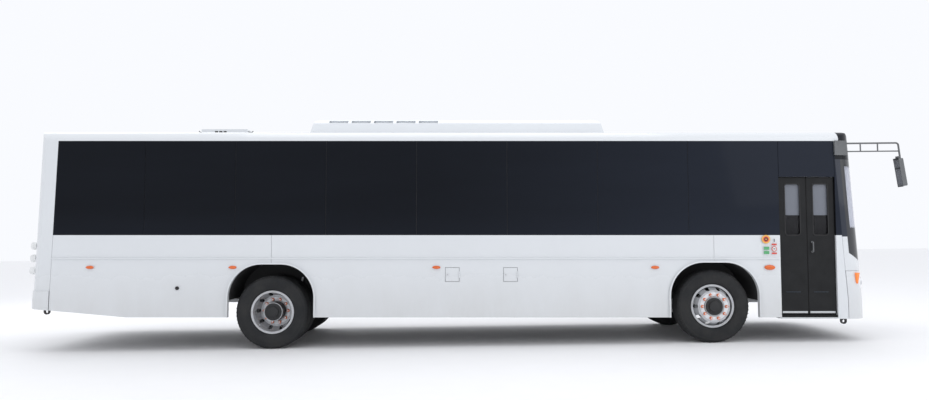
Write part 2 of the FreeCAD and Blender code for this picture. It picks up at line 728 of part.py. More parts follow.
def door_leaf(name, shaft, span, opening):
    """One leaf: a frame round its window, and its shaft on lugs."""
    face = (LEAF_FACE, f"{LEAF_FACE} + leaf_thick")
    slab = box(name + "Slab", span, face, ("door_low + leaf_gap", "door_high - leaf_gap"))
    window = box(name + "Window", opening, face, LEAF_WINDOW)
    frame = cut(name + "Frame", slab, window)
    shaft_bar = rod(name + "Shaft", "z", "shaft_radius",
                    ("door_low - shaft_bearing + shaft_end", "door_high + shaft_bearing"), (shaft, SHAFT_Y))
    lugs = [
        box(f"{name}Lug{number}", (f"{shaft} - shaft_radius", f"{shaft} + shaft_radius"),
            (f"{LEAF_FACE} + leaf_thick", SHAFT_Y),
            (f"{place} - 2 * shaft_radius", f"{place} + 2 * shaft_radius"))
        for number, place in enumerate(("door_low + door_high / 8", "door_high - door_high / 8"))
    ]
    return fuse(name, frame, shaft_bar, *lugs)


def door_leaves():
    """The two leaves, which part in the middle of the door, and the panes in their windows."""
    middle = f"({DOOR_REAR} + door_width / 2)"
    edges = (f"({middle} - leaf_gap)", f"({middle} + leaf_gap)")
    leaves = {}
    depth = (f"{LEAF_FACE} + leaf_thick / 2", f"{LEAF_FACE} + leaf_thick / 2 + glass_thick")
    for name, (shaft, inward), far in zip(("door_rear_leaf", "door_front_leaf"), leaf_shafts(), edges):
        near = f"({shaft} - {inward} * 1.5 * shaft_radius)"
        low, high = (near, far) if inward == "1" else (far, near)
        opening = (f"{low} + leaf_stile", f"{high} - leaf_stile")
        leaves[name] = door_leaf(name.replace("_", ""), shaft, (low, high), opening)
        leaves[name.replace("leaf", "glass")] = box(name + "Pane", opening, depth, LEAF_WINDOW)
    return leaves


# ---- tail ----
def rear_opening(name, half, low, high, deep, grow="0"):
    """A block through the rear wall, about the middle plane."""
    across = both(f"{half} + {grow}")
    return box(name, (f"{TAIL} - body_width", deep), across, (f"{low} - ({grow})", f"{high} + {grow}"))


TAIL_DEEP = f"({TAIL} + tail_wrap + wall)"


def rear_bumper():
    """The bumper, a little in front of the wall above it."""
    proud = fixed("HullBumper", hull(-size("bumper_proud")))
    ring = cut("BumperRing", proud, inner)
    low = common("BumperBand", ring, box("BumperBox", LENGTH, WHOLE, ("skirt_low", "rear_bumper_top")))
    zone = tail_zone("BumperTail", "panel_joint")
    return cut("RearBumper", common("BumperEnd", low, zone), departure_zone("BumperRise"))


def rear_wall():
    """The tail above the bumper, with the rear window's seat and the engine flap's opening."""
    band = box("RearWallBox", LENGTH, WHOLE, ("rear_bumper_top", "glass_high"))
    wall = common("RearWallEnd", common("RearWallBand", shell, band), tail_zone("RearWallTail"))
    glass = rear_opening("RearGlassSeat", "rear_glass_half", "rear_glass_low", "rear_glass_high", TAIL_DEEP)
    seat = common("RearGlassSlab", glass_skin, glass)
    hole = rear_opening("RearGlassHole", "rear_glass_half", "rear_glass_low", "rear_glass_high", TAIL_DEEP,
                        "(-glass_seat)")
    flap = rear_opening("EngineHole", "engine_flap_half", "engine_flap_low", "engine_flap_high", TAIL_DEEP)
    sockets = [
        lamp_rod(f"TailLampSocket{number}", side, place, "seat_play")
        for number, (side, place) in enumerate(tail_lamps())
    ]
    lugs, ears, bores = engine_flap_hinge("EngineFrame")
    opened = cut("RearWallOpen", wall, seat, hole, flap, *sockets)
    return cut("RearWall", fuse("RearWallEars", opened, *ears), *bores)


def rear_window():
    zone = rear_opening("RearGlassZone", "rear_glass_half", "rear_glass_low", "rear_glass_high", TAIL_DEEP)
    return common("RearWindow", glass_skin, zone)


FLAP_SLOTS = 7


def engine_flap():
    """The flap over the engine, with air slots and the hinge barrels along its top edge."""
    zone = rear_opening("EngineFlapZone", "engine_flap_half", "engine_flap_low", "engine_flap_high", TAIL_DEEP,
                        "(-flap_gap)")
    lugs = engine_flap_hinge("EngineFlap")[0]
    slots = []
    for number in range(FLAP_SLOTS):
        height = f"(engine_flap_low + slot_inset + {number} * slot_pitch)"
        slots.append(box(f"EngineFlapSlot{number}", ("-body_length", f"{tail_x(height)} + slot_depth"),
                         both("slot_half"), centred(height, "slot_high")))
    return fuse("EngineFlap", cut("EngineFlapPanel", common("EngineFlapSkin", shell, zone), *slots), *lugs)


def engine_flap_hinge(name):
    """The hinge along the engine flap's top edge."""
    gap = "(engine_flap_high - flap_gap / 2)"
    skin = f"({tail_x('engine_flap_high')} + tail_bulge * (engine_flap_half / body_width) ^ 2 - hinge_packing)"
    spots = [f"{side} * engine_flap_half / 2" for side in ("-1", "1")]
    return barrel_hinge(name, "y", spots, ("x", "-1", skin), ("z", "-1", gap))


def tail_lamps():
    """Side and height of each round lamp."""
    for side in ("-1", "1"):
        for number in range(3):
            yield side, f"(tail_lamp_low + {number} * tail_lamp_pitch)"


def lamp_rod(name, side, height, grow):
    """A lamp's barrel from inside the wall to its proud face."""
    back = f"({tail_x(height)} + wall / 2)"
    span = (f"{tail_x(height)} - tail_lamp_proud", back)
    return rod(name, "x", f"tail_lamp_radius + {grow}", span, (f"{side} * tail_lamp_offset", height))


def rear_lamps():
    return group("RearLamps", *[
        lamp_rod(f"TailLamp{number}", side, place, "0") for number, (side, place) in enumerate(tail_lamps())
    ])


# ---- nose ----
def front_panel():
    """The nose between the bumper and the windscreen, and the posts behind the windscreen's ends."""
    above = box("NoseBandBox", LENGTH, WHOLE, ("front_bumper_top + panel_joint", "screen_corner_low"))
    band = common("NoseEnd", common("NoseBand", shell, above), nose_zone("NoseZone"))
    low = cut("NoseLow", band, screen_zone("NoseScreen"))
    posts = box("ScreenPostBox", LENGTH, WHOLE, ("screen_low", "screen_high"))
    ends = cut("ScreenPostEnds", posts, box("ScreenPostInside", LENGTH, both("post_inside"),
                                            ("skirt_low", "roof_height")))
    frame = common("ScreenPostNose", common("ScreenPostRing", frame_skin, ends), nose_zone("ScreenPostZone"))
    held = common("ScreenPosts", frame, screen_zone("ScreenPostScreen"))
    return fuse("FrontPanel", low, held)


def windscreen():
    zone = common("ScreenZoneNose", screen_zone("ScreenZone"), nose_zone("ScreenNose"))
    return common("Windscreen", glass_skin, zone)


def front_header():
    """The header over the windscreen, up to the roof's front edge."""
    band = box("HeaderBox", LENGTH, WHOLE, ("screen_high", "2 * roof_height"))
    return common("FrontHeader", common("HeaderBand", shell, band), nose_zone("HeaderZone"))


def lamp_box(name, side, grow):
    """The block of a headlamp, on the left or right of the nose."""
    across = ("lamp_inside", "lamp_outside") if side == "left" else ("-lamp_outside", "-lamp_inside")
    return box(name + side, (f"{NOSE} - nose_wrap + wall", f"{NOSE} + wall"),
               (f"{across[0]} - {grow}", f"{across[1]} + {grow}"),
               (f"lamp_low - {grow}", f"lamp_high + {grow}"))


def front_bumper():
    band = box("FrontBumperBox", LENGTH, WHOLE, ("sill_low", "front_bumper_top"))
    ring = common("FrontBumperBand", shell, band)
    end = common("FrontBumperEnd", ring, nose_zone("FrontBumperZone", "panel_joint"))
    return cut("FrontBumper", end, lamp_box("LampHole", "left", "panel_joint / 2"),
               lamp_box("LampHole", "right", "panel_joint / 2"))


def front_lamps():
    return group("FrontLamps", *[
        common("FrontLamp" + side, shell, lamp_box("LampBlock", side, "0")) for side in ("left", "right")
    ])


# ---- roof ----
def roof_shell():
    """The roof from the side glass up, with the hatch's curb."""
    band = box("RoofBox", LENGTH, WHOLE, ("glass_high", "2 * roof_height"))
    top = cut("RoofTop", common("RoofBand", shell, band), nose_zone("RoofNose"))
    curb_x = ("hatch_rear", "hatch_rear + hatch_length")
    curb = box("HatchCurb", curb_x, both("hatch_half"), ("roof_height - roof_camber", "curb_high"))
    hole = box("HatchHole", ("hatch_rear + curb_thick", "hatch_rear + hatch_length - curb_thick"),
               both("hatch_half - curb_thick"), ("glass_high", "hatch_high"))
    lugs, ears, bores = hatch_hinge("HatchCurb")
    return cut("RoofShell", fuse("RoofWithCurb", top, curb, *ears), hole, *bores)


def hatch_hinge(name):
    """The hinge along the front edge of the roof hatch."""
    spots = [f"{side} * hatch_half / 2" for side in ("-1", "1")]
    front = "(hatch_rear + hatch_length)"
    return barrel_hinge(name, "y", spots, ("x", "1", front), ("z", "1", "(curb_high + flap_gap / 2)"))


def roof_hatch():
    lid = box("HatchLid", ("hatch_rear", "hatch_rear + hatch_length"), both("hatch_half"),
              ("curb_high + flap_gap", "hatch_high"))
    lugs, ears, bores = hatch_hinge("HatchLid")
    return fuse("RoofHatch", lid, *lugs)


COOLER_LOUVRES = 5


def roof_air_conditioner():
    """The cooling unit: sloped ends and sides with louvres, seated on the cambered roof."""
    rear, front = "cooler_rear", "(cooler_rear + cooler_length)"
    low = "(roof_height - roof_camber)"
    length = side_prism("CoolerLength", (
        (rear, low), (front, low), (f"{front} - cooler_slope / 2", "cooler_high - roof_camber / 2"),
        (f"{front} - cooler_slope", "cooler_high"), (f"{rear} + cooler_slope", "cooler_high"),
        (f"{rear} + cooler_slope / 2", "cooler_high - roof_camber / 2"),
    ), both("body_width"))
    width = end_prism("CoolerWidth", (
        ("-cooler_half", low), ("cooler_half", low), ("cooler_half", "cooler_high - cooler_slope / 2"),
        ("cooler_half - cooler_slope", "cooler_high"), ("cooler_slope - cooler_half", "cooler_high"),
        ("-cooler_half", "cooler_high - cooler_slope / 2"),
    ), LENGTH)
    return cut("RoofCooler", common("CoolerBlock", length, width), outer, *cooler_louvres(rear))


def cooler_louvres(rear):
    """The air openings along the upper edges of the roof unit."""
    sides = (("Left", ("cooler_half - cooler_slope", "body_width")),
             ("Right", ("-body_width", "cooler_slope - cooler_half")))
    for number in range(COOLER_LOUVRES):
        middle = f"({rear} + louvre_inset + {number} * louvre_pitch)"
        for side, reach in sides:
            yield box(f"CoolerLouvre{side}{number}", centred(middle, "louvre_pitch - louvre_bar"), reach,
                      ("cooler_high - louvre_low", "cooler_high - louvre_top"))


# ---- floor and underbody ----
def liner(name, axle, width, high, inside, side):
    """A shell over one wheel: an arch-shaped block with the arch cut out of its outer side."""
    edge = f"({inside} - liner_thick)"
    reach = (edge, INSIDE) if side == "left" else (f"-{INSIDE}", f"-{edge}")
    room = (inside, "body_width") if side == "left" else ("-body_width", f"-{inside}")
    block = arch(name + "Block", axle, f"({width} + 2 * liner_thick)", f"({high} + liner_thick)", reach)
    open_side = cut(name + "Open", block, arch(name + "Room", axle, width, high, room))
    return common(name, open_side, box(name + "Band", LENGTH, WHOLE, ("rail_low", "roof_height")))


LINERS = (
    # name, axle, width, height, inner side
    ("rear", REAR_AXLE, "rear_arch_width", "rear_arch_high", "rear_liner_inside"),
    ("front", FRONT_AXLE, "front_arch_width", "front_arch_high", "front_liner_inside"),
)


def wheel_arch_liners():
    return group("WheelArchLiners", *[
        liner(f"{name}{side}Liner", axle, width, high, inside, side)
        for name, axle, width, high, inside in LINERS for side in ("left", "right")
    ])


def liner_blocks(name):
    """The room that the liners take out of the floor."""
    for label, axle, width, high, inside in LINERS:
        for side, reach in (("Left", (f"{inside} - liner_thick", "body_width")),
                            ("Right", ("-body_width", f"liner_thick - {inside}"))):
            span = centred(axle, f"({width} + 2 * liner_thick)")
            yield box(f"{name}{label}{side}", span, reach, ("rail_low", f"{high} + liner_thick"))


WELL = (f"({DOOR_REAR} - step_plate)", f"({DOOR_FRONT} + step_plate)")
RISER = "(well_depth - body_width / 2)"


def floor_pan():
    """The floor board, the raised floor over the engine and the entrance steps."""
    podium = f"({TAIL} + podium_length)"
    board = box("FloorBoard", (f"{podium}", "body_length"), WHOLE, ("floor_top - floor_thick", "floor_top"))
    raised = box("PodiumBoard", ("-body_length", podium), WHOLE, ("podium_top - floor_thick", "podium_top"))
    riser = box("PodiumRiser", (f"{podium} - floor_thick", podium), WHOLE,
                ("floor_top - floor_thick", "podium_top"))
    floor = common("FloorInside", fuse("FloorBoards", board, raised, riser), inner)
    well = box("StepWell", WELL, ("-body_width", f"{RISER} + step_depth"), ("skirt_low", "roof_height"))
    pockets = list(flap_pockets())
    pan = cut("FloorCut", floor, well, *liner_blocks("FloorArch"), *[block for block, room in pockets])
    cups = [cut(f"FlapPocket{number}", block, room) for number, (block, room) in enumerate(pockets)]
    return fuse("FloorPan", pan, *cups, *entrance_steps())


def flap_pockets():
    """The outside of the pocket behind each service flap, and the room in it."""
    back = f"(pocket_depth - {INSIDE})"
    for name, middle in FLAPS:
        block = box(name + "PocketBlock", centred(middle, "flap_side + 2 * pocket_wall"),
                    (f"-{INSIDE}", f"{back} + pocket_wall"),
                    ("flap_low - pocket_wall", "flap_low + flap_side + pocket_wall"))
        room = box(name + "PocketRoom", centred(middle, "flap_side"), ("-body_width", back),
                   ("flap_low", "flap_low + flap_side"))
        yield block, room


def entrance_steps():
    """The step well's floor, its two risers and the step between, and the cheeks beside them."""
    well = "(door_low - shaft_bearing)"
    middle = f"(({well} + floor_top) / 2)"
    skin = f"-{INSIDE}"
    treads = (
        # name, inner and outer edge, top
        ("Well", RISER, skin, well),
        ("Step", f"({RISER} + step_depth)", RISER, middle),
    )
    for name, inside, outside, top in treads:
        yield box(name + "Tread", WELL, (outside, inside), (f"{top} - step_plate", top))
    yield box("LowRiser", WELL, (RISER, f"{RISER} + step_plate"), (f"{well} - step_plate", middle))
    yield box("HighRiser", WELL, (f"{RISER} + step_depth", f"{RISER} + step_depth + step_plate"),
              (f"{middle} - step_plate", "floor_top"))
    cheeks = ((WELL[0], DOOR_REAR), (DOOR_FRONT, WELL[1]))
    for name, across in zip(("Rear", "Front"), cheeks):
        yield box(name + "LowCheek", across, (skin, f"{RISER} + step_plate"),
                  (f"{well} - step_plate", "floor_top"))
        yield box(name + "HighCheek", across, (RISER, f"{RISER} + step_depth + step_plate"),
                  (f"{middle} - step_plate", "floor_top"))


CROSS_MEMBERS = 7
RAIL_TOP = "(floor_top - floor_thick)"
ENGINE_REAR = f"({TAIL} + tail_wrap)"
GEARBOX_FRONT = f"({TAIL} + tail_wrap + 1.5 * engine_length)"


def chassis_frame():
    """Two rails under the floor with low horns at the rear, cross members, and end beams with towing eyes."""
    rails = []
    for side in ("-1", "1"):
        across = centred(f"{side} * rail_offset", "rail_width")
        rails.append(box(f"Rail{side}", (ENGINE_REAR, f"{FRONT_EYE} + eye_outer"), across,
                         ("rail_low", RAIL_TOP)))
        rails.append(box(f"Horn{side}", (f"{REAR_EYE} - eye_outer", ENGINE_REAR), across,
                         ("rail_low", "rail_low + rail_width")))
    pitch = f"({FRONT_EYE} - {GEARBOX_FRONT}) / {CROSS_MEMBERS}"
    members = []
    for number in range(CROSS_MEMBERS):
        middle = f"{GEARBOX_FRONT} + ({number} + 0.5) * {pitch}"
        members.append(box(f"Member{number}", centred(middle, "rail_width"), both("rail_offset"),
                           ("rail_low + rail_width / 2", f"{RAIL_TOP} - rail_width / 2")))
    for name, place in (("RearBeam", REAR_EYE), ("FrontBeam", FRONT_EYE)):
        members.append(box(name, centred(place, "2 * eye_outer"), both("eye_offset + eye_thick / 2"),
                           ("rail_low", "rail_low + rail_width")))
    return fuse("ChassisFrame", *rails, *members, *towing_eyes())


def towing_eyes():
    """A bored plate hanging from each end of the end beams."""
    ends = (
        # name, place, height of the bore
        ("Front", FRONT_EYE, "(sill_low - front_eye_drop)"),
        ("Rear", REAR_EYE, "(rear_bumper_low - rear_eye_drop)"),
    )
    for name, place, bore in ends:
        for side in ("-1", "1"):
            across = centred(f"{side} * eye_offset", "eye_thick")
            plate = box(f"{name}Eye{side}Plate", centred(place, "2 * eye_outer"), across, (bore, "rail_low"))
            lobe = rod(f"{name}Eye{side}Lobe", "y", "eye_outer", across, (place, bore))
            hole = rod(f"{name}Eye{side}Hole", "y", "eye_radius", across, (place, bore))
            yield cut(f"{name}Eye{side}", fuse(f"{name}Eye{side}Body", plate, lobe), hole)


FRONT_EYE = f"({NOSE} - front_eye_inset)"
REAR_EYE = f"({TAIL} + eye_inset)"


def engine_block():
    """The engine as a plain block between and over the rails, and the gearbox in front of it."""
    front = f"({ENGINE_REAR} + engine_length)"
    half = "(rail_offset - rail_width / 2)"
    lower = box("EngineLower", (ENGINE_REAR, front), both(half), ("engine_low", RAIL_TOP))
    upper = box("EngineUpper", (ENGINE_REAR, front), both("engine_width / 2"), (RAIL_TOP, "engine_high"))
    gearbox = rod("Gearbox", "x", f"{half} / 2", (front, GEARBOX_FRONT), ("0", "engine_low + 2 * rail_width"))
    return fuse("EngineBlock", lower, upper, gearbox)


def rear_axle():
    """The axle tubes and differential, the spindle ends, and the springs up to the rails."""
    tube = rod("AxleTube", "y", "axle_radius", both("rear_liner_inside"), (REAR_AXLE, REAR_HUB))
    spindle = rod("AxleSpindles", "y", "spindle_radius", both(f"{TYRE_Y}"), (REAR_AXLE, REAR_HUB))
    bulb = doc.addObject("Part::Sphere", "Differential")
    bind(bulb, Radius="differential_radius", Placement__Base__x=REAR_AXLE, Placement__Base__z=REAR_HUB)
    leaves = springs("Rear", REAR_AXLE, REAR_HUB, f"({REAR_HUB} + axle_radius)")
    return fuse("RearAxle", tube, spindle, bulb, *leaves)


def springs(name, axle, seat_low, seat_top):
    """Leaf packs between the axle and the rails, with their end hangers."""
    leaf_thick = f"((rail_low - {seat_top}) / 5)"
    for side in ("-1", "1"):
        across = centred(f"{side} * rail_offset", "rail_width")
        for leaf, half in enumerate(("spring_half * 0.5", "spring_half * 0.75", "spring_half")):
            low = f"({seat_top} + {leaf} * {leaf_thick})"
            yield box(f"{name}Leaf{side}{leaf}", centred(axle, f"2 * {half}"), across,
                      (low, f"{low} + {leaf_thick}"))
        for end in ("-1", "1"):
            place = f"{axle} + {end} * (spring_half - rail_width / 2)"
            yield box(f"{name}Hanger{side}{end}", centred(place, "rail_width"), across,
                      (f"{seat_top} + 3 * {leaf_thick}", "rail_low"))
        yield box(f"{name}Seat{side}", centred(axle, "spring_half / 2"), across, (seat_low, seat_top))


def front_axle():
    """The beam with its kingpins, and the springs up to the rails."""
    beam = box("FrontBeam", centred(FRONT_AXLE, "2 * spindle_radius"), both("kingpin_offset"), KNUCKLE_BOSS)
    ends = []
    for side in ("-1", "1"):
        place = (FRONT_AXLE, f"{side} * kingpin_offset")
        ends.append(rod(f"BeamBoss{side}", "z", "beam_boss", KNUCKLE_BOSS, place))
        ends.append(rod(f"Kingpin{side}", "z", "kingpin_radius", KINGPIN, place))
    leaves = springs("Front", FRONT_AXLE, FRONT_HUB, f"({FRONT_HUB} + spindle_radius)")
    return fuse("FrontAxle", beam, *ends, *leaves)


KNUCKLE_BOSS = (f"({FRONT_HUB} - spindle_radius)", f"({FRONT_HUB} + spindle_radius)")
KINGPIN = (f"({FRONT_HUB} - spindle_radius * 2)", f"({FRONT_HUB} + spindle_radius * 2)")


def steering_knuckle(side):
    """A yoke over the beam's end, with the wheel spindle, the kingpin bores and the drum's backing plate."""
    sign = "-1" if side == "right" else "1"
    name = side + "Knuckle"
    width = centred(FRONT_AXLE, "2 * spindle_radius")

    def y(near, far):
        span = (f"{sign} * (kingpin_offset + {near})", f"{sign} * (kingpin_offset + {far})")
        return span if side == "left" else span[::-1]

    arms = [
        box(f"{name}Arm{end}", width, y("-spindle_radius", "2 * spindle_radius"),
            (f"{FRONT_HUB} + {low}", f"{FRONT_HUB} + {high}"))
        for end, low, high in (
            ("Low", "(-yoke_half)", "(-spindle_radius - yoke_play)"),
            ("High", "(spindle_radius + yoke_play)", "yoke_half"),
        )
    ]
    web = box(f"{name}Web", width, y("yoke_web", "2 * spindle_radius"),
              (f"{FRONT_HUB} - yoke_half", f"{FRONT_HUB} + yoke_half"))
    spindle = rod(f"{name}Spindle", "y", "spindle_radius", y("1.5 * spindle_radius", "spindle_reach"),
                  (FRONT_AXLE, FRONT_HUB))
    bore = rod(f"{name}Bore", "z", "kingpin_radius + shaft_clearance", KINGPIN,
               (FRONT_AXLE, f"{sign} * kingpin_offset"))
    return cut(name, fuse(name + "Body", *arms, web, spindle), bore)


# ---- wheels ----
def tyre(name, side, middle, hub):
    """A tyre of flat facets, its section given as radius and distance from its own middle."""
    half = "(tyre_width / 2)"
    bead = "rim_width / 2 - rim_metal - seat_play"
    section = [
        ("rim_radius + bead_play", bead), ("rim_flange + bead_play", bead),
        ("(rim_flange + tyre_radius) / 2", half),
        ("tyre_radius - shoulder_drop", f"{half} - sidewall_slope"),
        ("tyre_radius", f"{half} - shoulder_width"),
    ]
    points = [(size(radius), size(f"{side} * {middle} + ({place})")) for radius, place in section]
    points += [(size(radius), size(f"{side} * {middle} - ({place})")) for radius, place in reversed(section)]
    facets = int(size("tyre_facets"))
    turns = [2 * math.pi * (number + 0.5) / facets for number in range(facets + 1)]
    x, z = (size(place) for place in hub)
    rings = [
        [V(x + radius * math.cos(turn), y, z + radius * math.sin(turn)) for turn in turns]
        for radius, y in points
    ]
    faces = []
    for ring, after in zip(rings, rings[1:] + rings[:1]):
        for corners in zip(ring, ring[1:], after[1:], after):
            faces.append(Part.Face(Part.makePolygon(corners + corners[:1])))
    shell = Part.makeShell(faces)
    shell.sewShape()
    solid = Part.Solid(shell)
    if solid.Volume < 0:
        solid.reverse()
    return fixed(name, solid)


def rim(name, side, middle, hub, face, root):
    """A rim and its disc: the nut face and the cone's root lie at places outward of the rim's middle."""
    barrel = "(rim_radius - rim_metal)"
    half = "(rim_width / 2)"
    cone = "(nut_circle + disc_land)"
    section = [
        ("bore_radius", face), (cone, face), (barrel, root), (barrel, half), ("rim_flange", half),
        ("rim_flange", f"{half} - rim_metal"), ("rim_radius", f"{half} - rim_metal"),
        ("rim_radius", f"rim_metal - {half}"), ("rim_flange", f"rim_metal - {half}"),
        ("rim_flange", f"-{half}"),
        (barrel, f"-{half}"), (barrel, f"({root}) - 1.5 * rim_metal"), (cone, f"({face}) - rim_metal"),
        ("bore_radius", f"({face}) - rim_metal"),
    ]
    ring = turned(name + "Ring", [(r, f"{side} * ({middle} + ({y}))") for r, y in section], hub)
    reach = (f"{side} * {middle} - tyre_width", f"{side} * {middle} + tyre_width")
    holes = []
    for number in range(int(size("hand_holes"))):
        turn = f"(360 / hand_holes * {number})"
        across = f"({cone} + {barrel}) / 2"
        place = (f"{hub[0]} + {across} * cos({turn})", f"{hub[1]} + {across} * sin({turn})")
        holes.append(rod(f"{name}Hole{number}", "y", "hand_hole", reach, place))
    return cut(name, ring, group(name + "Holes", *holes))


def hub_body(name, side, hub, inside, outside, bore_end):
    """The drum behind the disc and the hub through it, bored for the spindle."""
    def y(near, far):
        span = (f"{side} * ({near})", f"{side} * ({far})")
        return span if side == "1" else span[::-1]

    drum = rod(name + "Drum", "y", "drum_radius", y(inside[0], inside[1]), hub)
    boss = rod(name + "Boss", "y", "hub_radius", y(inside[0], outside), hub)
    bore = rod(name + "Bore", "y", "spindle_radius + shaft_clearance", y(f"{inside[0]} - 1", bore_end), hub)
    return fuse(name + "Body", drum, boss), bore


FRONT_FACE = "(tyre_width / 2 + front_face_proud)"
REAR_FACE = "(rim_metal - twin_pitch / 2)"


def front_wheel(side):
    """One steered wheel: its tyre and its disc wheel with hub and drum."""
    sign = "-1" if side == "right" else "1"
    hub = (FRONT_AXLE, FRONT_HUB)
    name = side + "Front"
    disc = rim(name + "Rim", sign, TYRE_Y, hub, FRONT_FACE, "rim_width / 4")
    back = f"{TYRE_Y} + {FRONT_FACE} - rim_metal"
    body, bore = hub_body(name + "Hub", sign, hub, ("kingpin_offset + 2 * spindle_radius + yoke_play", back),
                          f"{back} + 2 * rim_metal", "kingpin_offset + spindle_reach + yoke_play")
    return {
        f"front_{side}_tyre": tyre(name + "Tyre", sign, TYRE_Y, hub),
        f"front_{side}_rim": cut(name + "Wheel", fuse(name + "RimHub", disc, body), bore),
    }


def rear_wheel(side):
    """One twin wheel: two tyres, two disc wheels back to back, hub and drum."""
    sign = "-1" if side == "right" else "1"
    hub = (REAR_AXLE, REAR_HUB)
    name = side + "Rear"
    inner_y = f"({TYRE_Y} - twin_pitch)"
    root = "(-rim_width / 4)"
    outer_rim = rim(name + "OuterRim", sign, TYRE_Y, hub, REAR_FACE, root)
    inner_rim = rim(name + "InnerRim", sign, inner_y, hub, "twin_pitch / 2", "rim_width / 4")
    back = f"{inner_y} + twin_pitch / 2 - rim_metal"
    body, bore = hub_body(name + "Hub", sign, hub, ("rear_liner_inside + drum_gap", back),
                          f"{TYRE_Y} + rim_width / 4", f"{TYRE_Y} + yoke_play")
    tyres = group(name + "Tyres", tyre(name + "OuterTyre", sign, TYRE_Y, hub),
                  tyre(name + "InnerTyre", sign, inner_y, hub))
    return {
        f"rear_{side}_tyres": tyres,
        f"rear_{side}_rims": cut(name + "Wheel", fuse(name + "RimHub", outer_rim, inner_rim, body), bore),
    }


# ---- hinged flaps and lids ----
def barrel_hinge(name, axis, spots, out, gap):
    """Lugs on pins for a lid, and the bored ears of its frame.

    out holds the letter, sign and place of the skin that the barrels stand on; gap holds the letter, the sign
    towards the lid and the middle of the gap between lid and frame.
    """
    out_letter, out_sign, skin = out
    gap_letter, lid_sign, middle = gap
    centre = f"({skin} + {out_sign} * (barrel_radius + barrel_play))"
    places = {out_letter: centre, gap_letter: middle}
    across = tuple(places[letter] for letter in "xyz" if letter != axis)

    def ordered(start, end, sign):
        return (start, end) if sign == "1" else (end, start)

    def knuckle(label, spot, sign):
        span = centred(spot, "barrel_length")
        barrel = rod(label + "Barrel", axis, "barrel_radius", span, across)
        far = f"{middle} + {sign} * 2 * barrel_radius"
        spans = {
            axis: span,
            out_letter: ordered(f"{skin} - {out_sign} * barrel_radius / 2", centre, out_sign),
            gap_letter: ordered(f"{middle} + {sign} * flap_gap / 2", far, sign),
        }
        foot = box(label + "Foot", spans["x"], spans["y"], spans["z"])
        spans[out_letter] = ordered(f"{skin} + {out_sign} * barrel_play / 2", centre, out_sign)
        spans[gap_letter] = ordered(middle, far, sign)
        return [barrel, foot, box(label + "Web", spans["x"], spans["y"], spans["z"])]

    lugs, ears, bores = [], [], []
    ear_sign = "-1" if lid_sign == "1" else "1"
    for number, spot in enumerate(spots):
        label = f"{name}Hinge{number}"
        lugs += knuckle(label + "Lug", spot, lid_sign)
        for side in ("-1", "1"):
            ear_spot = f"{spot} + {side} * (barrel_length + barrel_play)"
            ears += knuckle(f"{label}Ear{side}", ear_spot, ear_sign)
        reach = centred(spot, "3 * barrel_length")
        lugs.append(rod(label + "Pin", axis, "pin_radius", reach, across))
        bores.append(rod(label + "Bore", axis, "pin_radius + shaft_clearance",
                         centred(spot, "5 * barrel_length"), across))
    return lugs, ears, bores


def service_flap_hinge(name, middle):
    """The hinge of a square flap, upright at its front edge."""
    height = "flap_low + flap_side / 2"
    gap = f"({middle} + flap_side / 2 - flap_gap / 2)"
    return barrel_hinge(name, "z", [height], ("y", "-1", f"-{SIDE}"), ("x", "-1", gap))


def service_flaps():
    """The square flaps in the right skirt."""
    flaps = {}
    for name, middle in FLAPS:
        lid = box(name + "Lid", centred(middle, "flap_side - 2 * flap_gap"),
                  (f"-{SIDE}", f"flap_thick - {SIDE}"),
                  ("flap_low + flap_gap", "flap_low + flap_side - flap_gap"))
        lugs = service_flap_hinge(name, middle)[0]
        flaps[name] = fuse(name + "Flap", lid, *lugs)
    return flaps


# ---- cabin ----
def seat(name, x, y, floor):
    """One seat for a pair: pedestal, cushion and back, between two places across the bus."""
    top = f"({floor} + seat_height)"
    back = f"({x} + seat_pad)"
    front = f"({back} + seat_depth)"
    middle = f"(({y[0]}) + ({y[1]})) / 2"
    cushion = box(name + "Cushion", (x, front), y, (f"{top} - seat_pad", top))
    rest = box(name + "Back", (x, back), y, (f"{top} - seat_pad", f"{top} + seat_back"))
    leg = box(name + "Leg", centred(f"{x} + seat_depth / 2", "seat_leg"), centred(middle, "seat_leg"),
              (floor, f"{top} - seat_pad"))
    return fuse(name, cushion, rest, leg)


def seat_rows():
    """The rear end of each row of seats, and the floor that it stands on."""
    rear = f"({TAIL} + tail_wrap + 2 * wall)"
    podium = f"({TAIL} + podium_length)"
    yield rear, "podium_top"
    yield f"({rear} + seat_pitch)", "podium_top"
    rows = int(size(f"({DOOR_REAR} - seat_pitch - {podium}) / seat_pitch"))
    for number in range(rows):
        yield f"({podium} + flap_gap + {number} * seat_pitch)", "floor_top"


def passenger_seats():
    """Pairs of seats on both sides of the aisle; near the wheels their pedestals stand on the liners."""
    outside = f"({INSIDE} - seat_wall_gap)"
    inside = f"({outside} - 2 * seat_width)"
    seats = []
    for number, (rear, floor) in enumerate(seat_rows()):
        for side, span in (("Left", (inside, outside)), ("Right", (f"-{outside}", f"-{inside}"))):
            seats.append(seat(f"{side}Seat{number}", rear, span, floor))
    arches = [
        arch(f"{name}SeatArch", axle, f"({width} + 2 * liner_thick)", f"({high} + liner_thick)", WHOLE)
        for name, axle, width, high, inside in LINERS
    ]
    return cut("PassengerSeats", group("SeatRows", *seats), *arches)


SEAT_FRONT = f"({NOSE} - nose_wrap - 2 * seat_depth)"


def driver_seat():
    """The driver's seat, on its own box."""
    across = centred("driver_offset", "seat_width + seat_leg")
    x = f"({SEAT_FRONT} - seat_depth)"
    stand = box("DriverStand", (f"{x} + seat_pad", f"{x} + seat_depth"),
                centred("driver_offset", "seat_width - seat_leg"),
                ("floor_top", "floor_top + seat_height / 2"))
    return fuse("DriverSeat", seat("DriverSeatUnit", x, across, "floor_top"), stand)


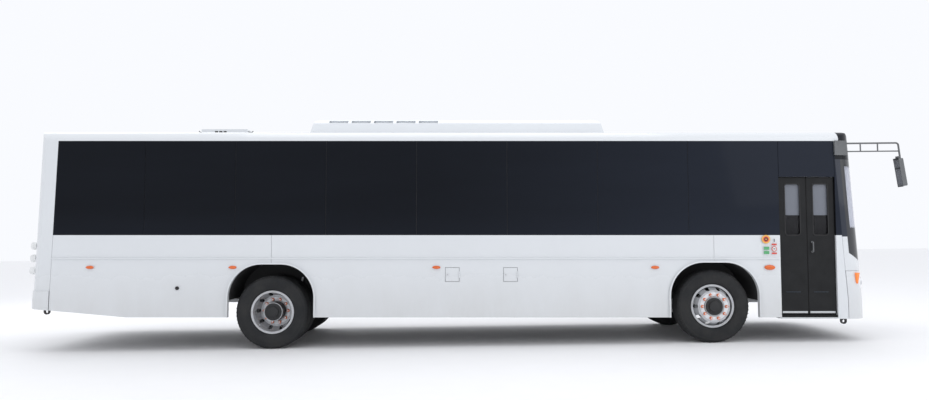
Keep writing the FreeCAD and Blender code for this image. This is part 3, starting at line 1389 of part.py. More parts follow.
def dashboard():
    """The dashboard across the nose, with the steering column."""
    back = f"({NOSE} - desk_depth)"
    front = f"({NOSE} - wall - nose_set_back - nose_bulge)"
    desk = side_prism("DashboardDesk", (
        (back, "glass_low - 2 * step_plate"), (back, "floor_top"), (front, "floor_top"),
        (front, "screen_low + seat_pad"), (f"{front} - seat_pad", "glass_low"),
    ), (f"{RISER} + step_depth + 2 * step_plate", f"{INSIDE} - nose_corner / 2"))
    boss = size_vector(steering_place())
    down = FreeCAD.Rotation(V(0, 1, 0), -STEER_TILT).multVec(V(0, 0, -1))
    bar = size("steer_rim_radius")
    column = strut(boss + down * 2 * bar, boss + down * size("seat_depth"), bar * 2)
    return fuse("Dashboard", common("DashboardInside", desk, inner), fixed("SteeringColumn", column))


def steering_place():
    """Where the steering wheel's boss is."""
    back = f"({NOSE} - nose_wrap - seat_depth / 2 - steer_wheel_radius / 2)"
    return back, "driver_offset", "glass_low + steer_wheel_rise"


def size_vector(formulas):
    """The point whose three places are given as formulas."""
    return V(*(size(text) for text in formulas))


def strut(start, end, radius):
    """A round bar between two points."""
    return Part.makeCylinder(radius, (end - start).Length, start, end - start)


STEER_TILT = 35


def steering_wheel():
    """A rim, a boss and three spokes, tilted towards the driver."""
    radius = size("steer_wheel_radius")
    bar = size("steer_rim_radius")
    shape = Part.makeTorus(radius, bar).fuse(Part.makeCylinder(bar * 3, bar * 3, V(0, 0, -bar * 2)))
    for turn in (0, 120, 240):
        end = FreeCAD.Rotation(V(0, 0, 1), turn).multVec(V(radius, 0, 0))
        shape = shape.fuse(strut(V(0, 0, -bar), end, bar * 0.7))
    wheel = fixed("SteeringWheel", shape)
    tilt = FreeCAD.Rotation(V(0, 1, 0), -STEER_TILT)
    wheel.Placement = FreeCAD.Placement(size_vector(steering_place()), tilt)
    return wheel


# ---- mirrors ----
ARM_RUNGS = (0.3, 0.62)  # places of the rungs, as shares of the mirror arm


def mirror(name, sign):
    """A bracket on the corner post, a ladder arm of two tubes, and the head hanging from its bent end."""
    high, spacing = size("arm_height"), V(0, 0, -size("arm_spacing"))
    side, radius = size("body_width / 2"), size("arm_radius")
    root = V(size(nose_x("arm_height")) - size("arm_root"), sign * (side - radius), high)
    tip = V(size("body_length / 2 + arm_reach"), sign * (side + size("arm_spread")), high)
    hang = tip + 2 * spacing + V(2 * radius, 0, 0)
    shape = bent_tube([root, tip, hang], radius, 3 * radius)
    rungs = [(root + (tip - root) * share, root + (tip - root) * share + spacing) for share in ARM_RUNGS]
    for start, end in [(root + spacing, tip + spacing + V(radius, 0, 0))] + rungs:
        shape = shape.fuse(strut(start, end, size("rung_radius")))
    measures = ("bracket_length", "bracket_width", "arm_spacing + bracket_edge")
    deep, wide, tall = (size(measure) for measure in measures)
    corner = V(root.x - deep + radius, sign * side - wide / 2, root.z - tall + 3 * radius)
    bracket = Part.makeBox(deep, wide, tall, corner)
    deep, wide, tall = (size("mirror_" + name) for name in ("depth", "width", "height"))
    head = Part.makeBox(deep, wide, tall, V(-deep, -wide / 2, -tall))
    head = head.makeFillet(deep / 3, [edge for edge in head.Edges if abs(edge.tangentAt(0).x) > 0.9])
    lean = FreeCAD.Rotation(V(0, 1, 0), -size("mirror_lean"))
    head.Placement = FreeCAD.Placement(hang + V(0, 0, radius), lean)
    return fixed(name, shape.fuse([bracket, head]).cut(outer.Shape))


def mirrors():
    return group("Mirrors", mirror("LeftMirror", 1), mirror("RightMirror", -1))


def sub_parts():
    parts = {
        "chassis_frame": chassis_frame(),
        "floor_pan": floor_pan(),
        "wheel_arch_liners": wheel_arch_liners(),
        "right_side_panels": right_side_panels(),
        "left_side_panels": left_side_panels(),
        "right_window_frame": right_window_frame(),
        "left_window_frame": left_window_frame(),
        "door_frame": door_frame(),
        "right_side_glass": side_glass("right", RIGHT),
        "left_side_glass": side_glass("left", LEFT),
        "roof_shell": roof_shell(),
        "roof_hatch": roof_hatch(),
        "roof_air_conditioner": roof_air_conditioner(),
        "rear_wall": rear_wall(),
        "rear_window": rear_window(),
        "rear_bumper": rear_bumper(),
        "rear_lamps": rear_lamps(),
        "engine_flap": engine_flap(),
        "front_panel": front_panel(),
        "front_bumper": front_bumper(),
        "front_header": front_header(),
        "windscreen": windscreen(),
        "front_lamps": front_lamps(),
        "mirrors": mirrors(),
        "dashboard": dashboard(),
        "steering_wheel": steering_wheel(),
        "driver_seat": driver_seat(),
        "passenger_seats": passenger_seats(),
        "engine_block": engine_block(),
        "front_axle": front_axle(),
        "rear_axle": rear_axle(),
        "left_steering_knuckle": steering_knuckle("left"),
        "right_steering_knuckle": steering_knuckle("right"),
    }
    parts.update(service_flaps())
    parts.update(door_leaves())
    for side in ("left", "right"):
        parts.update(front_wheel(side))
        parts.update(rear_wheel(side))
    return parts


def settle(parts):
    """Turns every sub-part from the body's level frame onto the ground, over the origin."""
    pivot = V(size(f"({REAR_AXLE} + {FRONT_AXLE}) / 2"), 0, 0)
    turn = FreeCAD.Rotation(V(0, 1, 0), size("rake"))
    stance = FreeCAD.Placement(pivot - turn.multVec(pivot), turn)
    whole = Part.makeCompound([part.Shape for part in parts.values()]).transformed(stance.toMatrix())
    bounds = whole.optimalBoundingBox(False)
    middle = V((bounds.XMin + bounds.XMax) / 2, 0, 0)
    stance = FreeCAD.Placement(stance.Base - middle, turn)
    settled = {}
    for name, part in parts.items():
        placed = doc.addObject("Part::Compound", name)
        placed.Label = name
        placed.Links = [part]
        placed.Placement = stance
        settled[name] = placed
    return settled, stance


def check(things):
    """Stops when an object failed, or a sub-part has no valid solid."""
    failed = [thing.Name for thing in doc.Objects if {"Invalid", "Error"} & set(thing.State)]
    if failed:
        raise RuntimeError(f"failed objects: {failed}")
    for name, thing in things.items():
        if thing.Shape.isNull() or not thing.Shape.isValid() or not thing.Shape.Solids:
            raise RuntimeError(f"no valid solid in {name}")


pieces = sub_parts()
doc.recompute()
check(pieces)
nodes, stance = settle(pieces)
doc.recompute()
check(nodes)
os.makedirs("parts", exist_ok=True)
for name, node in nodes.items():
    node.Shape.exportStep(f"parts/{name}.step")
print(f"{len(nodes)} sub-parts; the body frame is settled by {stance}")
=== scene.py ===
"""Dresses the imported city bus: finishes for its panels, and the fittings that its solids leave out.

Lengths are in metres. Pieces are modelled in the body's level frame, where X runs forward from
mid-length, Y to the left and Z up from the ground, and are then tipped into the stance of the bus.
"""

import json
import math

import bmesh
import bpy
from bpy.props import FloatProperty, FloatVectorProperty, IntProperty, PointerProperty
from mathutils import Matrix, Vector


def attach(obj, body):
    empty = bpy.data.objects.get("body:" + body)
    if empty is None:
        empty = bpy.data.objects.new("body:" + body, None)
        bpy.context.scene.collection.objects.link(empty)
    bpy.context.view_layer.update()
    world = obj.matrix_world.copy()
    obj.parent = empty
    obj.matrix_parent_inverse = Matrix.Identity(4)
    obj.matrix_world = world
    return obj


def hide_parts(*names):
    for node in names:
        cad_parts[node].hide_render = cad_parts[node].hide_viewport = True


bl_info = {
    "name": "City bus dresser",
    "version": (1, 0, 0),
    "blender": (4, 5, 0),
    "location": "3D View > Sidebar > City Bus",
    "description": "Finishes and fittings for a single-deck city bus",
    "category": "Object",
}

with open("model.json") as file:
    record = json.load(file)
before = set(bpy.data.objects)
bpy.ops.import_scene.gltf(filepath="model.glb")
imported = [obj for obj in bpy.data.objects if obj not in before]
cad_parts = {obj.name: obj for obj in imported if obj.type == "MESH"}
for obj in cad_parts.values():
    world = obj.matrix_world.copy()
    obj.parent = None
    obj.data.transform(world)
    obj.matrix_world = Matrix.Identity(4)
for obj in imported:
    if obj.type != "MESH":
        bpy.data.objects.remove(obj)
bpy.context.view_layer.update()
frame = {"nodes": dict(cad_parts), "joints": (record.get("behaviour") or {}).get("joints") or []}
JOINTS = {joint["name"]: joint for joint in frame["joints"]}
BUS = "bus"
SIDES = (-1, 1)  # right and left of the middle
AXLES_MIDDLE = 0.57  # middle of the wheelbase, ahead of the body's mid-length
WINDSCREEN_LEAN = math.tan(math.radians(3.7))
TAIL_LEAN = math.tan(math.radians(1.7))
SILL, HEAD_ROOM = 0.405, 2.93  # underside of the skirts, and the ceiling


# ---- the stance of the bus ----
def stance():
    """The turn and shift that carry the level body frame onto the road."""
    axis = JOINTS["front_left_steer"]["axis"]
    rake = math.atan2(axis[0], axis[2])
    turn = Matrix.Rotation(rake, 4, "Y")
    front, rear = (Vector(JOINTS[name]["pos_m"]) for name in ("front_left_roll", "rear_left_roll"))
    middle = (front + rear) / 2
    level = turn @ Vector((AXLES_MIDDLE, 0, middle.z / math.cos(rake)))
    return Matrix.Translation((middle.x - level.x, 0, middle.z - level.z)) @ turn, rake


STANCE, RAKE = stance()
LEVEL = STANCE.inverted()


def level_box(node):
    """A node's lowest and highest corners in the level frame."""
    corners = [LEVEL @ vertex.co for vertex in frame["nodes"][node].data.vertices]
    return (Vector([min(corner[i] for corner in corners) for i in range(3)]),
            Vector([max(corner[i] for corner in corners) for i in range(3)]))


def level_joint(name):
    return LEVEL @ Vector(JOINTS[name]["pos_m"])


# ---- shader nodes ----
class Value:
    """A number in a material; arithmetic on it adds Math nodes."""

    def __init__(self, finish, socket):
        self.finish, self.socket = finish, socket

    def math(self, operation, *others):
        node = self.finish.node("ShaderNodeMath", {"operation": operation}, dict(enumerate((self,) + others)))
        return Value(self.finish, node.outputs[0])

    def swapped(self, operation, first):
        node = self.finish.node("ShaderNodeMath", {"operation": operation}, {0: first, 1: self})
        return Value(self.finish, node.outputs[0])

    def __add__(self, other):
        return self.math("ADD", other)

    def __sub__(self, other):
        return self.math("SUBTRACT", other)

    def __mul__(self, other):
        return self.math("MULTIPLY", other)

    def __truediv__(self, other):
        return self.math("DIVIDE", other)

    def __rsub__(self, other):
        return self.swapped("SUBTRACT", other)

    __radd__ = __add__
    __rmul__ = __mul__

    def above(self, edge, soft=0.004):
        """0 below the edge and 1 above it, with a soft step."""
        return self.finish.ramp(self, edge - soft, edge + soft)

    def band(self, low, high, soft=0.004):
        """1 between two edges."""
        return self.above(low, soft) * (1 - self.above(high, soft))

    def clamped(self):
        """The value kept between 0 and 1."""
        return self.math("MINIMUM", 1.0).math("MAXIMUM", 0.0)


class Finish:
    """A material under way."""

    made = {}

    def __init__(self, name):
        self.material = bpy.data.materials.new(name)
        self.material.use_nodes = True
        self.tree = self.material.node_tree
        self.tree.nodes.clear()
        self.coords = self.node("ShaderNodeTexCoord").outputs["Object"]
        Finish.made[name] = self.material

    def node(self, kind, settings=None, sockets=None):
        """Adds a node: its settings first, then its sockets' values or links."""
        node = self.tree.nodes.new(kind)
        for name, value in (settings or {}).items():
            setattr(node, name, value)
        for name, value in (sockets or {}).items():
            if isinstance(value, Value):
                value = value.socket
            if isinstance(value, bpy.types.NodeSocket):
                self.tree.links.new(value, node.inputs[name])
            else:
                node.inputs[name].default_value = value
        return node

    def place(self):
        """The level frame's coordinates of a point."""
        turned = self.node("ShaderNodeMapping", {"vector_type": "POINT"}, {
            "Vector": self.coords, "Rotation": (0, -RAKE, 0), "Location": LEVEL.translation,
        })
        parts = self.node("ShaderNodeSeparateXYZ", None, {0: turned.outputs[0]})
        return [Value(self, parts.outputs[i]) for i in range(3)]

    def stretched(self, scale):
        """Object coordinates scaled on each axis."""
        return self.node("ShaderNodeMapping", None, {"Vector": self.coords, "Scale": scale}).outputs[0]

    def noise(self, scale, detail=3.0, rough=0.55, stretch=None):
        """Cloudy noise from 0 to 1, drawn out along an axis where it is stretched."""
        sockets = {"Scale": scale, "Detail": detail, "Roughness": rough,
                   "Vector": self.stretched(stretch) if stretch else self.coords}
        return Value(self, self.node("ShaderNodeTexNoise", None, sockets).outputs[0])

    def cells(self, scale):
        """Distance to the nearest of many scattered points."""
        sockets = {"Scale": scale, "Vector": self.coords}
        return Value(self, self.node("ShaderNodeTexVoronoi", None, sockets).outputs[0])

    def wave(self, scale, direction):
        """Even bands across one axis."""
        settings = {"wave_type": "BANDS", "bands_direction": direction, "wave_profile": "SIN"}
        sockets = {"Scale": scale, "Distortion": 0.0, "Vector": self.coords}
        return Value(self, self.node("ShaderNodeTexWave", settings, sockets).outputs[1])

    def ramp(self, value, low, high):
        """A smooth rise from 0 at the low value to 1 at the high one."""
        settings = {"interpolation_type": "SMOOTHSTEP"}
        sockets = {"Value": value, "From Min": low, "From Max": high, "To Min": 0.0, "To Max": 1.0}
        return Value(self, self.node("ShaderNodeMapRange", settings, sockets).outputs[0])

    def blend(self, share, first, second):
        """A colour between two, by a share from 0 to 1."""
        mixed = self.node("ShaderNodeMix", {"data_type": "RGBA"}, {0: share, 6: rgba(first), 7: rgba(second)})
        return mixed.outputs[2]

    def bump(self, height, depth, strength=1.0):
        """A normal bent by a height."""
        sockets = {"Height": height, "Distance": depth, "Strength": strength}
        return self.node("ShaderNodeBump", None, sockets).outputs[0]

    def surface(self, **sockets):
        """The Principled shader; a socket's name has _ for each space."""
        named = {name.replace("_", " "): value for name, value in sockets.items()}
        if not isinstance(named["Base Color"], bpy.types.NodeSocket):
            named["Base Color"] = rgba(named["Base Color"])
        shader = self.node("ShaderNodeBsdfPrincipled", None, named)
        self.node("ShaderNodeOutputMaterial", None, {"Surface": shader.outputs[0]})
        return self.material


def rgba(colour):
    """A colour as a socket takes it, or the link that makes one."""
    if isinstance(colour, bpy.types.NodeSocket):
        return colour
    return tuple(colour)[:3] + (1.0,)


# ---- finishes ----
def coach_paint(name, colour, dust=0.35):
    """Glossy panel paint with a slight ripple, and road dust that thickens towards the sill."""
    finish = Finish(name)
    z = finish.place()[2]
    film = (1 - finish.ramp(z, 0.35, 1.25)) * finish.noise(3.0, 6.0, 0.7, (1, 1, 0.35))
    shade = finish.noise(0.8, 2.0)
    clean = finish.blend(shade, [c * 0.965 for c in colour], [min(c * 1.02, 1.0) for c in colour])
    dirt = finish.blend((film * dust).clamped(), clean, (0.36, 0.33, 0.29))
    ripple = finish.noise(38.0, 1.0) + finish.noise(2.2, 1.0) * 2
    return finish.surface(
        Base_Color=dirt, Roughness=0.24 + film * 0.3, Coat_Weight=0.5, Coat_Roughness=0.06,
        Normal=finish.bump(ripple, 0.0006, 0.25),
    )


def tinted_glass(name, colour, front, low, high):
    """Near-black bonded glass, with painted light that greys it towards the nose, and greyer along its lower
    edge where dust settles.
    """
    finish = Finish(name)
    x, _, z = finish.place()
    haze = finish.noise(0.9, 3.0, 0.6, (0.4, 1, 2.5))
    foot = 1 - finish.ramp(z, low, low + (high - low) * 0.3)
    # The ramp along x is painted light towards the nose. The haze and the dusty foot are the glass's own tone.
    share = haze * 0.15 + foot * 0.1 + finish.ramp(x, -1.0, 5.6) * 0.6
    tone = finish.blend(share.clamped(), colour, front)
    return finish.surface(
        Base_Color=tone, Roughness=0.05 + haze * 0.05 + foot * 0.04, IOR=1.2,
        Normal=finish.bump(finish.noise(1.1, 0.0), 0.002, 0.2),
    )


def windscreen_glass(name, clear, border, side, body):
    """Laminated glass with a fired border: a greyer painted-light tint beside the side glass, paint under that,
    and grey in front. The clear middle is painted pale with painted light seen through the glass.
    """
    finish = Finish(name)
    x, y, z = finish.place()
    low = level_box("windscreen")[0]
    seam = low.x + 0.10
    lean = (z - low.z) * WINDSCREEN_LEAN
    near = (x + lean - seam).above(0.13, 0.006)
    y_edge = y.math("ABSOLUTE")
    clearing = near * z.band(1.66, 2.52, 0.01)
    dots = finish.cells(60.0)
    fade = (clearing * finish.ramp(dots + z.band(1.69, 2.49, 0.03), 0.25, 0.45)).clamped()
    haze = finish.noise(1.4, 2.0)
    # The clear middle's pale colour is painted light: the bright backdrop seen through the glass.
    glare = finish.blend(haze, clear, [c * 0.9 for c in clear])
    # Above 1.53 m, the strip beside the side glass takes the greyer tint of painted light.
    corner = finish.blend(z.above(1.53), body, side)
    tone = finish.blend(fade, finish.blend((x + lean - seam).above(0.07), corner, border), glare)
    return finish.surface(Base_Color=tone, Roughness=0.06 + haze * 0.03,
                          Alpha=1 - fade * (0.62 - y_edge * 0.12), IOR=1.45)


def header_paint(name, dark, light, edge):
    """Body paint that ends in a black front edge over the windscreen."""
    finish = Finish(name)
    x, _, z = finish.place()
    haze = finish.noise(0.9, 3.0, 0.6, (0.4, 1, 2.5))
    tone = finish.blend(haze * 0.2, dark, [c * 5 + 0.006 for c in dark])
    return finish.surface(
        Base_Color=finish.blend(z.above(2.86) * (1 - x.above(edge)), tone, light),
        Roughness=0.12 + haze * 0.05,
        IOR=1.3,
        Normal=finish.bump(finish.noise(1.1, 0.0), 0.002, 0.2),
    )


def door_glass(name, light, dark):
    """A smeared door pane in painted light and shade: bright in its upper part with painted light from beyond
    the far side, and painted shade below where the cabin shows through.
    """
    finish = Finish(name)
    z = finish.place()[2]
    low, high = level_box("door_front_glass")
    haze = finish.noise(2.4, 4.0, 0.6, (1, 1, 0.5))
    # The upper share is painted light and the lower part is painted shade, for what shows through the pane.
    share = z.above(low.z + (high.z - low.z) * 0.39, 0.006) * (0.9 + haze * 0.1)
    return finish.surface(
        Base_Color=finish.blend(share, dark, light), Roughness=0.06 + haze * 0.07, Alpha=0.82 + haze * 0.1,
        IOR=1.3,
    )


def moulded(name, colour, rough=0.55, grain=900.0, depth=0.0004, ior=1.45):
    """Moulded plastic or rubber with a fine grain and handled, lighter patches."""
    finish = Finish(name)
    wear = finish.noise(6.0, 4.0, 0.65)
    tone = finish.blend(wear, [c * 0.8 for c in colour], [min(c * 1.3 + 0.01, 1.0) for c in colour])
    return finish.surface(
        Base_Color=tone, Roughness=rough - 0.1 + wear * 0.2, IOR=ior,
        Normal=finish.bump(finish.cells(grain), depth, 0.35),
    )


def door_surround(name, dark, light):
    """Black jambs and lintel, with body paint on the corner in front of the door and on the sill."""
    finish = Finish(name)
    x, _, z = finish.place()
    low, high = level_box("door_front_leaf")
    corner = x.above(high.x + 0.004) * (1 - z.above(level_box("right_side_glass")[0].z))
    sill = 1 - z.above(low.z - 0.004)
    wear = finish.noise(6.0, 4.0, 0.65)
    tone = finish.blend(wear, [c * 0.8 for c in dark], [c * 1.3 for c in dark])
    return finish.surface(
        Base_Color=finish.blend((corner + sill).clamped(), tone, light), Roughness=0.25 + wear * 0.15,
        IOR=1.25,
        Normal=finish.bump(finish.cells(500.0), 0.0002, 0.35),
    )


def bare_metal(name, colour, rough=0.3, stretch=(1, 1, 30)):
    """Brushed or cast metal with a directional grain and dull spots."""
    finish = Finish(name)
    spots = finish.noise(9.0, 5.0, 0.7)
    brushed = finish.noise(60.0, 3.0, 0.6, stretch)
    tone = finish.blend(spots, [c * 0.78 for c in colour], colour)
    return finish.surface(
        Base_Color=tone, Metallic=0.9, Roughness=rough + brushed * 0.2,
        Normal=finish.bump(brushed, 0.0005, 0.25),
    )


def underbody_paint(name, colour, rust=0.35):
    """Dull chassis paint with rust blooms and dried mud."""
    finish = Finish(name)
    mud = finish.noise(5.0, 8.0, 0.7)
    bloom = finish.ramp(finish.noise(14.0, 6.0, 0.7), 0.6, 0.72)
    tone = finish.blend(mud, colour, [c * 1.7 + 0.02 for c in colour])
    rusty = finish.blend(bloom * rust, tone, (0.17, 0.07, 0.03))
    return finish.surface(
        Base_Color=rusty, Roughness=0.5 + mud * 0.35, Normal=finish.bump(mud + bloom * 0.4, 0.003, 0.4),
    )


def wheel_paint(name, colour):
    """Silver wheel paint, brushed round the rim, with brake dust in its low places."""
    finish = Finish(name)
    dust = finish.noise(11.0, 6.0, 0.7)
    fleck = finish.cells(700.0)
    tone = finish.blend(finish.ramp(dust, 0.45, 0.8) * 0.5, colour, (0.23, 0.215, 0.2))
    return finish.surface(
        Base_Color=tone, Metallic=0.45 - dust * 0.15, Roughness=0.3 + dust * 0.25,
        Normal=finish.bump(fleck, 0.0004, 0.15),
    )


def tyre_rubber(name, colour, dusty):
    """Tyre rubber: fine rings on the side wall and a brown-grey bloom of dust."""
    finish = Finish(name)
    bloom = finish.noise(4.0, 7.0, 0.65)
    tone = finish.blend(finish.ramp(bloom, 0.3, 0.75), colour, dusty)
    speck = finish.noise(160.0, 2.0)
    return finish.surface(
        Base_Color=tone, Roughness=0.78 + bloom * 0.15, Normal=finish.bump(speck, 0.001, 0.3),
    )


def lens(name, colour, glow=0.0, ridges=420.0):
    """A ribbed lamp lens."""
    finish = Finish(name)
    rib = finish.wave(ridges / 20, "Z") * 0.5 + finish.wave(ridges / 20, "X") * 0.5
    haze = finish.noise(20.0, 3.0)
    tone = finish.blend(haze * 0.5, colour, [min(c * 1.4 + 0.02, 1.0) for c in colour])
    return finish.surface(
        Base_Color=tone, Roughness=0.12 + haze * 0.1, Coat_Weight=0.6, Coat_Roughness=0.05,
        Emission_Color=rgba(colour), Emission_Strength=glow, Normal=finish.bump(rib, 0.002, 0.3),
    )


def speckled_floor(name, colour):
    """Safety floor covering: dark flecks in grey, worn paler along the aisle."""
    finish = Finish(name)
    y = finish.place()[1]
    fleck = finish.ramp(finish.cells(420.0), 0.3, 0.4)
    aisle = y.band(-0.25, 0.25, 0.12) * finish.noise(2.5, 5.0)
    tone = finish.blend(fleck, colour, [c * 0.6 for c in colour])
    worn = finish.blend(aisle * 0.5, tone, [c * 1.6 for c in colour])
    return finish.surface(Base_Color=worn, Roughness=0.62 - aisle * 0.2,
                          Normal=finish.bump(fleck, 0.0006, 0.4))


def upholstery(name, colour, thread):
    """Woven seat cloth: two thread directions, with a paler worn middle."""
    finish = Finish(name)
    warp, weft = finish.wave(70.0, "X"), finish.wave(70.0, "Y")
    weave = (warp + weft) * 0.5
    worn = finish.noise(7.0, 4.0)
    tone = finish.blend(weave * 0.6 + worn * 0.4, colour, thread)
    return finish.surface(Base_Color=tone, Roughness=0.85 + worn * 0.1, Sheen_Weight=0.3,
                          Normal=finish.bump(weave, 0.0012, 0.5))


def make_finishes(looks):
    """All the materials, by the name that the pieces ask for."""
    side_low, side_high = level_box("right_side_glass")
    coach_paint("coach_white", looks.body_colour)
    coach_paint("roof_white", looks.body_colour, 0.0)
    # The roof unit takes a lighter copy of the body paint: painted light, because its side shows brighter than
    # the body.
    coach_paint("painted_lit_unit_white", [min(c * 1.12, 0.9) for c in looks.body_colour], 0.0)
    # A greyer copy of the side glass's tint, which is painted light. The side glass takes it towards the nose,
    # and the windscreen takes it beside the side glass.
    nose_glare_tint = [c * 5 + 0.006 for c in looks.glass_colour]
    tinted_glass("ribbon_glass", looks.glass_colour, nose_glare_tint, side_low.z, side_high.z)
    windscreen_glass("windscreen_glass", looks.screen_see_through_light, (0.042, 0.044, 0.049), nose_glare_tint,
                     looks.body_colour)
    header_paint("header_paint", looks.glass_colour, looks.body_colour,
                 level_box("front_header")[0].x + 0.084)
    # The door panes take painted light above and painted shade below, for what shows through them.
    door_glass("door_pane", looks.pane_see_through_light, (0.012, 0.012, 0.014))
    moulded("door_paint", looks.door_colour, 0.38, 500.0, 0.0002, 1.25)
    moulded("door_rib", (0.012, 0.022, 0.036), 0.4, 500.0, 0.0002)
    door_surround("door_surround", looks.door_colour, looks.body_colour)
    moulded("black_rubber", (0.012, 0.012, 0.013), 0.7)
    moulded("black_plastic", (0.028, 0.029, 0.031), 0.5)
    moulded("grey_plastic", looks.arm_colour, 0.45)
    moulded("seat_shell", looks.seat_colour, 0.35, 700.0)
    moulded("dashboard_skin", (0.045, 0.047, 0.052), 0.6, 220.0, 0.001)
    moulded("amber_tip", (0.75, 0.16, 0.03), 0.45)
    moulded("yellow_grip", (0.85, 0.55, 0.04), 0.35)
    moulded("sign_yellow", (0.83, 0.42, 0.09), 0.4, 300.0, 0.0001)
    moulded("sign_red", (0.62, 0.07, 0.05), 0.4, 300.0, 0.0001)
    moulded("sign_green", (0.10, 0.38, 0.16), 0.4, 300.0, 0.0001)
    moulded("sign_white", (0.75, 0.76, 0.76), 0.4, 300.0, 0.0001)
    bare_metal("bright_steel", (0.72, 0.73, 0.75), 0.22)
    bare_metal("kick_strip", (0.62, 0.64, 0.66), 0.35, (30, 1, 1))
    moulded("mirror_face", (0.13, 0.135, 0.145), 0.2, 40.0, 0.00005)
    underbody_paint("chassis_black", (0.03, 0.03, 0.032))
    underbody_paint("engine_iron", (0.13, 0.13, 0.13), 0.6)
    moulded("hub_black", (0.011, 0.0115, 0.013), 0.5, 400.0)
    underbody_paint("arch_black", (0.012, 0.012, 0.013), 0.0)
    wheel_paint("wheel_silver", looks.wheel_colour)
    wheel_paint("nut_ring", [min(c * 1.5, 0.9) for c in looks.wheel_colour])
    tyre_rubber("tyre_rubber", (0.010, 0.011, 0.013), (0.026, 0.026, 0.026))
    lens("amber_lens", (0.85, 0.19, 0.02), 0.25)
    lens("marker_lens", (0.62, 0.105, 0.004), 0.05)
    lens("red_lens", (0.55, 0.02, 0.02), 0.1)
    lens("clear_lens", (0.72, 0.74, 0.76), 0.05)
    speckled_floor("floor_covering", (0.17, 0.17, 0.18))
    upholstery("seat_cloth", (0.03, 0.05, 0.11), (0.09, 0.13, 0.24))


